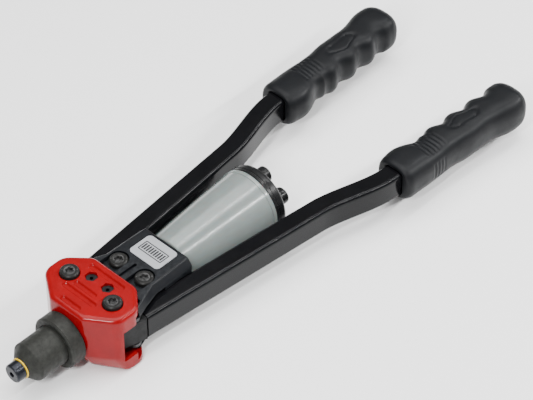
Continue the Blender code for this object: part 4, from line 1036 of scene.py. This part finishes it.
@dataclass
class Carriage:
    """Two black castings clamped on the pull tube, with their bolts and the label plate."""
    bench: Bench
    repeater: Repeater
    layers: Layers
    bolt_at: Point = (35.5, 12.0)
    wing: tuple = ((5.0, 14.2), (18.6, 14.2), (18.6, 25.6), (12.0, 25.6))
    low_flank: tuple = ((12.0, 32.0), (21.0, 28.6), (34.0, 24.8), (66.0, 24.2), (68.0, 23.6))
    top_flank: tuple = ((12.0, 29.6), (21.0, 25.9), (34.0, 20.6), (66.0, 19.6), (68.0, 19.6))
    arm_room_front: float = 20.0
    arm_room_rear: float = 22.9
    slot: tuple = (26.0, 39.0, 1.2, 2.2)
    channel: float = 5.8
    flange_groove: tuple = (48.5, 51.5, 8.8)
    neck_seat: tuple = (57.0, 12.2)
    spine_front: float = 42.3
    pocket_floor: float = 15.3
    pocket_radius: float = 7.0
    crease: float = 0.8
    bolt_hole: float = 4.2
    label_front: float = 45.6
    label_rear: float = 65.8
    label_half: float = 13.5
    label_corner: float = 3.0
    label_depth: float = 0.9
    frame_box: tuple = (51.2, 60.2, 10.6)
    frame_line: float = 0.8
    bar_half: float = 0.65
    bar_inset: float = 1.7
    bar_pitch: float = 2.1
    bar_count: int = 9

    def build(self) -> None:
        """Build every piece of the carriage."""
        self.rear = self.low_flank[-1][0]
        for layer in Layer:
            self._half(*layer.value)
        self._bolts()
        self._label()

    def _half(self, name: str, up: int) -> None:
        """One casting.

        Args:
            name: Upper or lower.
            up: Sign of Z.
        """
        inner, top = self.layers.carriage_inner, self.layers.carriage_top
        low_edge, top_edge = mirrored(self.wing + self.low_flank), mirrored(self.wing + self.top_flank)
        levels = ((low_edge, 0.15), (low_edge, inner + self.crease), (top_edge, top))
        rings = [[(x, y, up * z) for x, y in edge] for edge, z in levels]
        half = self.bench.skin(f"carriage_{name}_casting", rings)
        self.bench.soften(half, 0.9, 3, 24.0)
        front, wide, above = self.spine_front, OUTSIDE + OVERCUT, up * OUTSIDE
        room = [(-10.0, -wide), (front, -wide), (front, wide), (-10.0, wide)]
        cuts = [self.bench.slab("link_room", room, -2 * up, up * inner)]
        bolt_x, bolt_y = self.bolt_at
        pocket = stadium((0.0, bolt_y), (bolt_x + 0.4, bolt_y), self.pocket_radius, 20)
        clear = [(front - 2, self.arm_room_front), (self.rear + 1, self.arm_room_rear), (self.rear + 1, wide),
                 (front - 2, wide)]
        arm_top = up * (self.layers.link_inner + 0.2)
        for side in Side:
            sign = side.value[1]
            hole = disc(self.bolt_hole, (bolt_x, sign * bolt_y))
            cuts += [self.bench.slab("arm_room", flipped(clear, sign), -2 * up, arm_top),
                     self.bench.slab("pocket", flipped(pocket, sign), up * self.pocket_floor, above),
                     self.bench.slab("bolt_hole", hole, up * (inner - 3), above)]
        start, end, radius, depth = self.slot
        slot = stadium((start, 0.0), (end, 0.0), radius)
        cuts.append(self.bench.slab("centre_slot", slot, up * (top - depth), above))
        cuts.append(self.bench.lathe("tube_channel", self._channel(), steps=64))
        if up > 0:
            cuts.append(self.bench.slab("label_recess", self._plate(0.6), top - self.label_depth, above))
        self.bench.combine(half, cuts)
        self.bench.soften(half, 0.28, 2, 40.0)
        self.bench.deliver(half, "carriage", Coat.CARRIAGE_CASTING, (f"carriage_{name}_half",))

    def _channel(self) -> list[Point]:
        """Profile of the channel for the tube, its flange and the bottle's neck."""
        front, rear = self.spine_front - OVERCUT, self.rear + OVERCUT
        groove_front, groove_rear, groove = self.flange_groove
        seat, neck = self.neck_seat
        return [(front, 0.0), (front, self.channel), (groove_front, self.channel), (groove_front, groove),
                (groove_rear, groove), (groove_rear, self.channel), (seat, self.channel), (seat, neck),
                (rear, neck), (rear, 0.0)]

    def _plate(self, margin: float) -> list[Point]:
        """Outline of the label plate, grown by a margin."""
        corner, half = self.label_corner + margin, self.label_half + margin
        front, rear = self.label_front - margin, self.label_rear + margin
        return filleted([(x, y, corner) for x, y in rectangle(front, rear, half)], 10)

    def _bolts(self) -> None:
        """The two carriage bolts."""
        low, high = self.bench.extent("carriage_bolt_left")
        pattern = make_bolt(self.bench, high.z, self.pocket_floor + 0.1, low.z)
        bolts = self.repeater.run("carriage_bolts", self.repeater.row, pattern, 2, Coat.BOLT_STEEL,
                                  First=(*self.bolt_at, 0.0), Step=(0.0, -2 * self.bolt_at[1], 0.0))
        self.bench.deliver(bolts, "carriage", Coat.BOLT_STEEL, ("carriage_bolt_left", "carriage_bolt_right"))

    def _label(self) -> None:
        """Alloy plate with a printed frame and a row of plain bars."""
        top = self.layers.carriage_top
        low = top - self.label_depth + 0.1
        plate = self.bench.slab("label_plate", self._plate(0.0), low, top - 0.1)
        self.bench.soften(plate, 0.18, 2)
        self.bench.deliver(plate, "carriage", Coat.LABEL_PLATE, ("carriage_label",))
        front, rear, half = self.frame_box
        ink_low, ink_high = top - 0.12, top - 0.04
        line = self.frame_line
        outer = filleted([(x, y, 0.8) for x, y in rectangle(front, rear, half)], 4)
        inner = filleted([(x, y, 0.4) for x, y in rectangle(front + line, rear - line, half - line)], 4)
        border = self.bench.slab("label_border", outer, ink_low, ink_high)
        self.bench.combine(border, [self.bench.slab("window", inner, ink_low - 1, ink_high + 1)])
        self.bench.deliver(border, "carriage", Coat.LABEL_PRINT)
        box = rectangle(front + self.bar_inset, rear - self.bar_inset, self.bar_half)
        bar = self.bench.slab("bar", filleted([(x, y, 0.2) for x, y in box], 3), ink_low, ink_high)
        first = -self.bar_pitch * (self.bar_count - 1) / 2
        bars = self.repeater.run("label_bars", self.repeater.row, bar, self.bar_count, Coat.LABEL_PRINT,
                                 First=(0.0, first, 0.0), Step=(0.0, self.bar_pitch, 0.0))
        self.bench.deliver(bars, "carriage", Coat.LABEL_PRINT)


@dataclass
class Bottle:
    """Collection bottle and its cap with four lugs."""
    bench: Bench
    repeater: Repeater
    wall: float = 1.3
    front_radius: float = 19.0
    shoulder: float = 68.3
    shoulder_rounding: float = 2.2
    shoulder_inside: float = 3.5
    neck_radius: float = 11.9
    belly: float = 0.5
    rim_length: float = 3.2
    rim_step: float = 0.35
    cap_rim: float = 5.6
    face_inset: float = 4.3
    plug: float = 6.0
    lug_radius: float = 6.0
    lug_inset: float = 2.5
    lug_length: float = 9.2
    lug_count: int = 4
    lug_turn: float = -15.0

    def build(self) -> None:
        """Build the bottle and the cap."""
        low, high = self.bench.extent("collection_bottle")
        self.rear, self.rear_radius, self.neck_front = high.x, high.y, low.x
        self._shell()
        self._cap()

    def _radius(self, x: float) -> float:
        """Outer radius at x, on a slow curve."""
        share = (x - self.shoulder) / (self.rear - self.shoulder)
        straight = self.front_radius + (self.rear_radius - self.rim_step - self.front_radius) * share
        return straight + 4 * self.belly * share * (1 - share)

    def _shell(self) -> None:
        """Blown bottle with a round shoulder and a rim at the rear."""
        steps, bow, wall = 40, self.shoulder_rounding, self.wall
        first, rim, ridge = self.shoulder + bow, self.rear - self.rim_length, self.rear_radius
        outer = []
        for step in range(6, -1, -1):
            turn = math.pi / 2 * step / 6
            outer.append((self.shoulder + bow * (1 - math.sin(turn)),
                          self._radius(self.shoulder) - bow * (1 - math.cos(turn))))
        for step in range(1, steps + 1):
            x = first + (rim - first) * step / steps
            outer.append((x, self._radius(x)))
        outer += [(rim + 0.25, ridge - 0.1), (rim + 0.5, ridge), (self.rear - 0.4, ridge),
                  (self.rear, ridge - 0.35)]
        neck = [(self.neck_front, self.neck_radius), (self.shoulder, self.neck_radius)]
        inner = [(self.shoulder + wall, self.front_radius - self.shoulder_inside)]
        inner += [(x, r - wall) for x, r in outer if x > first - 0.2]
        back = [(self.shoulder + wall, self.neck_radius - wall), (self.neck_front, self.neck_radius - wall)]
        profile = neck + outer + inner[::-1] + back
        shell = self.bench.lathe("bottle_shell", profile, steps=160, ring=True)
        self.bench.deliver(shell, "carriage", Coat.BOTTLE_SHELL, ("collection_bottle",), weighted=False)

    def _cap(self) -> None:
        """Black cap with a rounded face and four lugs."""
        _, high = self.bench.extent("bottle_cap")
        start = self.rear + 0.3
        face = high.x - self.lug_length
        radius, flat = self.rear_radius, self.rear_radius - self.face_inset
        edge = start + self.cap_rim
        rounding = [(edge + (face - edge) * math.sin(turn), flat + self.face_inset * math.cos(turn))
                    for turn in (math.pi / 2 * (1 - step / 12) for step in range(13))]
        plug = radius - self.wall - 0.3
        dimple = [(face - 0.5, 0.0), (face - 0.5, 4.2), (face - 0.2, 5.0), (face, 5.6)]
        groove = [(start + 3.0, radius), (start + 2.7, radius - 0.3), (start + 2.3, radius - 0.3),
                  (start + 2.0, radius), (start + 0.3, radius), (start, radius - 0.3)]
        inside = [(start, plug), (start - self.plug + 0.4, plug - 0.3), (start - self.plug, plug - 0.7),
                  (start - self.plug, plug - 2.4), (face - 4.0, flat - 2.0), (face - 2.5, 0.0)]
        body = dimple + rounding + groove + inside
        shell = self.bench.lathe("cap_shell", body, steps=160)
        self.bench.deliver(shell, "cap", Coat.CAP_SHELL, ("bottle_cap",), sharp=40.0)
        reach, wide = self.lug_length, self.lug_radius
        corners = [(reach, 0.0, 0.0), (reach, wide, 1.5), (0.8, wide, 0.0), (0.2, wide + 0.3, 0.0),
                   (-0.2, wide + 0.9, 0.0), (-0.6, 0.0, 0.0)]
        lug = self.bench.lathe("lug", filleted(corners, 8), steps=48)
        lugs = self.repeater.run("cap_lugs", self.repeater.wheel, lug, self.lug_count, Coat.CAP_SHELL,
                                 Radius=flat - wide - self.lug_inset, Along=face,
                                 Start_Angle=math.radians(self.lug_turn))
        self.bench.deliver(lugs, "cap", Coat.CAP_SHELL, sharp=40.0)


@dataclass
class Arm:
    """One bent tube and its moulded grip."""
    bench: Bench
    side: Side
    width: float = 15.0
    height: float = 20.0
    wall: float = 2.0
    corner: float = 3.0
    start: Point = (18.3, 26.2)
    slope: float = 0.103
    bend_length: float = 58.0
    bend_rise: float = 13.3
    bend_lead: float = 4.4
    handle: float = 18.0
    grip_slope: float = 0.043
    grip_offset: float = 0.3
    end_wall: float = 17.4
    half_width: float = 15.4
    half_height: float = 14.6
    finger_pitch: float = 20.8
    finger_depth: float = 1.8
    first_crest: float = 48.0
    finger_ease: float = 6.0
    finger_rear: float = 12.0
    inner_swells: tuple = ((32.0, 7.0, 3.2), (14.0, 9.0, -2.2))
    outer_swells: tuple = ((46.0, 15.0, -1.6), (82.0, 12.0, -1.2), (107.0, 12.0, 2.4))
    height_swells: tuple = ((34.0, 12.0, -1.2), (108.0, 13.0, 0.8))
    front_rounding: float = 5.0
    front_face: float = 0.82
    rear_rounding: float = 10.0
    rear_face: float = 0.42
    squareness: float = 0.75
    rib_front: float = 24.0
    top_rib_rear: float = 45.0
    side_rib_rear: float = 38.0
    rib_pitch: float = 3.5
    rib_depth: float = 0.45
    pad_at: Point = (70.0, -1.5)
    pad_size: Point = (14.0, 4.6)
    pad_groove: float = 0.9
    pad_sink: float = 0.35
    socket_squareness: float = 0.35
    socket_gap: float = 0.35
    stations: int = 220
    around: int = 112

    def build(self) -> None:
        """Build the tube and the grip."""
        self.name, self.sign = self.side.value
        low, high = self.bench.extent(f"grip_{self.name}")
        self.grip_start, self.reach = low.x, high.x
        self.length = high.x - low.x
        self.bend_end_x = self.grip_start - self.bend_lead
        self.bend_start_x = self.bend_end_x - self.bend_length
        self.bend_start_y = self.start[1] + self.slope * (self.bend_start_x - self.start[0])
        self.bend_end_y = self.bend_start_y + self.bend_rise
        self.end_x = self.reach - self.end_wall
        self._tube()
        self._grip()

    def _line(self, x: float) -> float:
        """Distance of the arm's line from the tool's middle along its grip stretch."""
        return self.bend_end_y + self.grip_slope * (x - self.bend_end_x)

    def _path(self) -> list[tuple[Vector, Vector]]:
        """Places and headings along the arm's line.

        Returns:
            (place, heading) pairs, on the left side.
        """
        stations = [(self.start, self.slope, 10.0),
                    ((self.bend_start_x, self.bend_start_y), self.slope, self.handle),
                    ((self.bend_end_x, self.bend_end_y), self.grip_slope, self.handle),
                    ((self.end_x, self._line(self.end_x)), self.grip_slope, 10.0)]
        path = []
        for index, count in enumerate((14, 28, 12)):
            (p0, s0, h0), (p3, s3, h3) = stations[index], stations[index + 1]
            a, d = Vector(p0), Vector(p3)
            b, c = a + Vector((h0, s0 * h0)), d - Vector((h3, s3 * h3))
            for step in range(count + (index == 2)):
                t = step / count
                u = 1 - t
                place = a * u ** 3 + b * 3 * u * u * t + c * 3 * u * t * t + d * t ** 3
                heading = (b - a) * u * u + (c - b) * 2 * u * t + (d - c) * t * t
                path.append((place, heading.normalized()))
        return path

    def _profile(self, inset: float) -> list[Point]:
        """Section of the tube, drawn in by an inset."""
        across, up = self.width / 2 - inset, self.height / 2 - inset
        corner = max(self.corner - inset, 0.6)
        box = ((across, up), (-across, up), (-across, -up), (across, -up))
        return filleted([(a, u, corner) for a, u in box], 8)

    def _tube(self) -> None:
        """Bent steel tube with its wall."""
        path = self._path()

        def rings(inset: float) -> list[list[tuple]]:
            """Sections along the path, drawn in by an inset."""
            made = []
            for place, heading in path:
                aside = Vector((-heading.y, heading.x))
                made.append([(*(Vector((place.x + aside.x * a, self.sign * (place.y + aside.y * a)))), z)
                             for a, z in self._profile(inset)])
            return made

        tube = self.bench.skin(f"bent_tube_{self.name}", rings(0.0) + rings(self.wall)[::-1], wrap=True)
        self.bench.deliver(tube, f"arm_{self.name}", Coat.ARM_PAINT, (f"arm_tube_{self.name}",))

    def _section(self, distance: float) -> tuple[float, float, float]:
        """Inner edge, outer edge and half height of the grip at a distance from its front."""
        swell = 0.5 - 0.5 * math.cos(2 * math.pi * (distance - self.first_crest) / self.finger_pitch)
        trough = self.first_crest - self.finger_pitch / 2
        after, before = distance - trough, self.length - self.finger_rear - distance
        fade = math.prod(min(max(room / self.finger_ease, 0), 1) for room in (after, before))
        fingers = 2 * self.finger_depth * swell * fade
        inner = -self.half_width + fingers + swelling(distance, self.inner_swells)
        outer = self.half_width + swelling(distance, self.outer_swells)
        height = self.half_height + swelling(distance, self.height_swells)
        front = self.front_face + (1 - self.front_face) * quarter(distance / self.front_rounding)
        rear = self.rear_face + (1 - self.rear_face) * quarter((self.length - distance) / self.rear_rounding)
        scale = min(front, rear)
        return inner * scale, outer * scale, height * scale

    def _detail(self, distance: float, across: float, up: float, outward: float) -> float:
        """Depth of the moulded detail: ribs across the top and the outer side, and an oval on the top.

        Args:
            distance: From the grip's front.
            across: Distance from the section's middle, outwards positive.
            up: Height as a share of the section's half height.
            outward: Width as a share of the section's half width.

        Returns:
            How far the skin is drawn in.
        """
        ribs = 0.5 - 0.5 * math.cos(2 * math.pi * (distance - self.rib_front) / self.rib_pitch)
        top_face = smooth(0.80, 0.92, abs(up)) * (1 - smooth(7.5, 9.0, abs(across)))
        side_face = smooth(0.80, 0.92, outward) * (1 - smooth(0.45, 0.6, abs(up)))
        top_band = band(self.rib_front, self.top_rib_rear, distance)
        side_band = band(self.rib_front, self.side_rib_rear, distance)
        depth = self.rib_depth * ribs * max(top_band * top_face, side_band * side_face)
        oval = math.hypot(*[(spot - middle) / size for spot, middle, size in
                            zip((distance, across), self.pad_at, self.pad_size)])
        pad = self.pad_groove * hump(oval, 1.0, 0.13) + self.pad_sink * (1 - smooth(0.9, 1.05, oval))
        return depth + smooth(0.72, 0.88, abs(up)) * pad

    def _ring(self, distance: float) -> list[tuple]:
        """One ring of the grip's skin."""
        inner, outer, height = self._section(distance)
        x = self.grip_start + distance
        middle = self._line(x) + self.grip_offset + (inner + outer) / 2
        half = (outer - inner) / 2
        ring = []
        for wide, tall, angle in squared_circle(self.around, self.squareness):
            depth = self._detail(distance, half * wide, tall, wide)
            y = middle + half * wide - depth * math.cos(angle)
            ring.append((x, self.sign * y, height * tall - depth * math.sin(angle)))
        return ring

    def _socket(self, distance: float, grow: float) -> list[tuple]:
        """One ring of the socket that takes the tube."""
        x = self.grip_start + distance
        across, up = self.width / 2 + grow, self.height / 2 + grow
        return [(x, self.sign * (self._line(x) + across * wide), up * tall)
                for wide, tall, _ in squared_circle(self.around, self.socket_squareness)]

    def _grip(self) -> None:
        """Grip with four finger swells, fine ribs and a socket for the tube."""
        rings = [self._socket(self.length - self.end_wall + 0.4, self.socket_gap),
                 self._socket(1.2, self.socket_gap), self._socket(0.3, 0.8)]
        for step in range(self.stations + 1):
            share = step / self.stations
            eased = share - 0.04 * math.sin(2 * math.pi * share)
            rings.append(self._ring(self.length * eased))
        grip = self.bench.skin(f"moulded_grip_{self.name}", rings)
        self.bench.deliver(grip, f"arm_{self.name}", Coat.GRIP_SKIN, (f"grip_{self.name}",), sharp=50.0,
                           weighted=False)


@dataclass
class FittedParts:
    """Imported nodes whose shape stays: arm ends, pins, links, nuts, the pull tube, the jaws and so on."""
    paints: Paintshop
    coats: dict[str, Coat] = field(default_factory=lambda: {
        "arm_end": Coat.FORGED_STEEL,
        "pivot_bush": Coat.LINK_STEEL,
        "link_pin": Coat.LINK_STEEL,
        "link_upper": Coat.LINK_STEEL,
        "link_lower": Coat.LINK_STEEL,
        "fulcrum_nut": Coat.NUT_STEEL,
        "carriage_nut": Coat.NUT_STEEL,
        "lock_nut": Coat.NUT_STEEL,
        "carriage_spacer": Coat.TURNED_STEEL,
        # the spare nosepieces take the darker copy of the nosepiece steel, painted shade for their holes
        "spare_nosepiece": Coat.SPARE_STEEL,
        "pull_tube": Coat.TURNED_STEEL,
        "jaw": Coat.HARD_STEEL,
    })

    def build(self, nodes: dict[str, Solid]) -> None:
        """Paint each node that is still shown.

        Args:
            nodes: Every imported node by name.
        """
        for name, node in nodes.items():
            if node.hide_render:
                continue
            coat = next(made for prefix, made in self.coats.items() if name.startswith(prefix))
            material = self.paints.get(coat)
            if not node.material_slots:
                node.data.materials.append(material)
            for slot in node.material_slots:
                slot.material = material
            LOG.info("%s: %s", name, coat.name.lower())


# ---------------------------------------------------------------- studio

@dataclass
class Softbox:
    """One rectangular light, aimed at a point. Lengths are in metres."""
    name: str
    place: tuple[float, float, float]
    aim: tuple[float, float, float]
    size: tuple[float, float]
    power: float

    def build(self) -> None:
        """Make the light with its long side along X as far as its aim allows."""
        data = bpy.data.lights.new(self.name, "AREA")
        data.shape = "RECTANGLE"
        data.size, data.size_y = self.size
        data.energy = self.power
        light = bpy.data.objects.new(self.name, data)
        back = (Vector(self.place) - Vector(self.aim)).normalized()
        up = back.cross(Vector((1, 0, 0))).normalized()
        right = up.cross(back)
        light.matrix_world = Matrix.Translation(self.place) @ Matrix((right, up, back)).transposed().to_4x4()
        bpy.context.scene.collection.objects.link(light)


@dataclass
class Studio:
    """Pale floor, soft lights and the camera."""
    bench: Bench
    lens: float = 167.45066
    sensor: float = 36.0
    distance: float = 1.6846
    back: tuple[float, float, float] = (-0.5218, -0.4993, 0.6917)
    target: tuple[float, float, float] = (156.4, -6.0, 0.0)
    floor_colour: Colour = (0.95, 0.95, 0.95)
    floor_half: float = 12.0

    def build(self) -> None:
        """Build the floor, the lights and the camera."""
        self._floor()
        self._world()
        aim = tuple(self.bench.to_row @ Vector((100.0, 0.0, 0.0)))
        for name, place, size, power in (
                ("overhead", (-0.1, 0.25, 1.7), (1.9, 1.5), 46.0),
                ("near_strip", (0.62, -0.68, 0.78), (1.5, 0.04), 18.0),
                ("high_strip", (0.72, -0.12, 1.15), (1.3, 0.03), 7.0),
                ("nose_strip", (-0.98, -0.42, 1.0), (0.5, 0.05), 16.0),
                ("nose_fill", (-1.2, -0.7, 0.6), (0.8, 0.5), 1.0)):
            Softbox(name, place, aim, size, power).build()
        self._camera()

    def _floor(self) -> None:
        """Floor just under the tool."""
        mesh = bpy.data.meshes.new("floor")
        reach = self.floor_half
        corners = [(-reach, -reach, 0), (reach, -reach, 0), (reach, reach, 0), (-reach, reach, 0)]
        mesh.from_pydata(corners, [], [(0, 1, 2, 3)])
        floor = self.bench.stand("floor", mesh)
        material = bpy.data.materials.new("floor")
        material.use_nodes = True
        shader = material.node_tree.nodes["Principled BSDF"]
        shader.inputs["Base Color"].default_value = (*self.floor_colour, 1.0)
        shader.inputs["Roughness"].default_value = 0.9
        mesh.materials.append(material)

    @staticmethod
    def _world() -> None:
        """Even white surroundings."""
        world = bpy.data.worlds.new("studio")
        world.use_nodes = True
        background = world.node_tree.nodes["Background"]
        background.inputs["Color"].default_value = (1.0, 1.0, 1.0, 1.0)
        background.inputs["Strength"].default_value = 0.3
        bpy.context.scene.world = world

    def _camera(self) -> None:
        """Camera high on the nose's near side."""
        data = bpy.data.cameras.new("camera")
        data.sensor_width = self.sensor
        data.lens = self.lens
        data.clip_start, data.clip_end = 0.05, 50.0
        camera = bpy.data.objects.new("camera", data)
        back = Vector(self.back).normalized()
        camera.location = self.bench.to_row @ Vector(self.target) + back * self.distance
        camera.rotation_mode = "QUATERNION"
        camera.rotation_quaternion = (-back).to_track_quat("-Z", "Y")
        bpy.context.scene.collection.objects.link(camera)
        bpy.context.scene.camera = camera


def write_sizes() -> None:
    bpy.context.view_layer.update()


def main() -> None:
    """Build the tool around its frame, then the studio."""
    logging.basicConfig(level=logging.INFO, format="%(name)s: %(message)s")
    paints = Paintshop()
    bench = Bench(frame["joints"], paints)
    repeater = Repeater(bench)
    layers = Layers()
    Studio(bench).build()
    Head(bench, repeater, layers).build()
    Carriage(bench, repeater, layers).build()
    Bottle(bench, repeater).build()
    for side in Side:
        Arm(bench, side).build()
    FittedParts(paints).build(frame["nodes"])
    write_sizes()


if __name__ == "__main__":
    main()
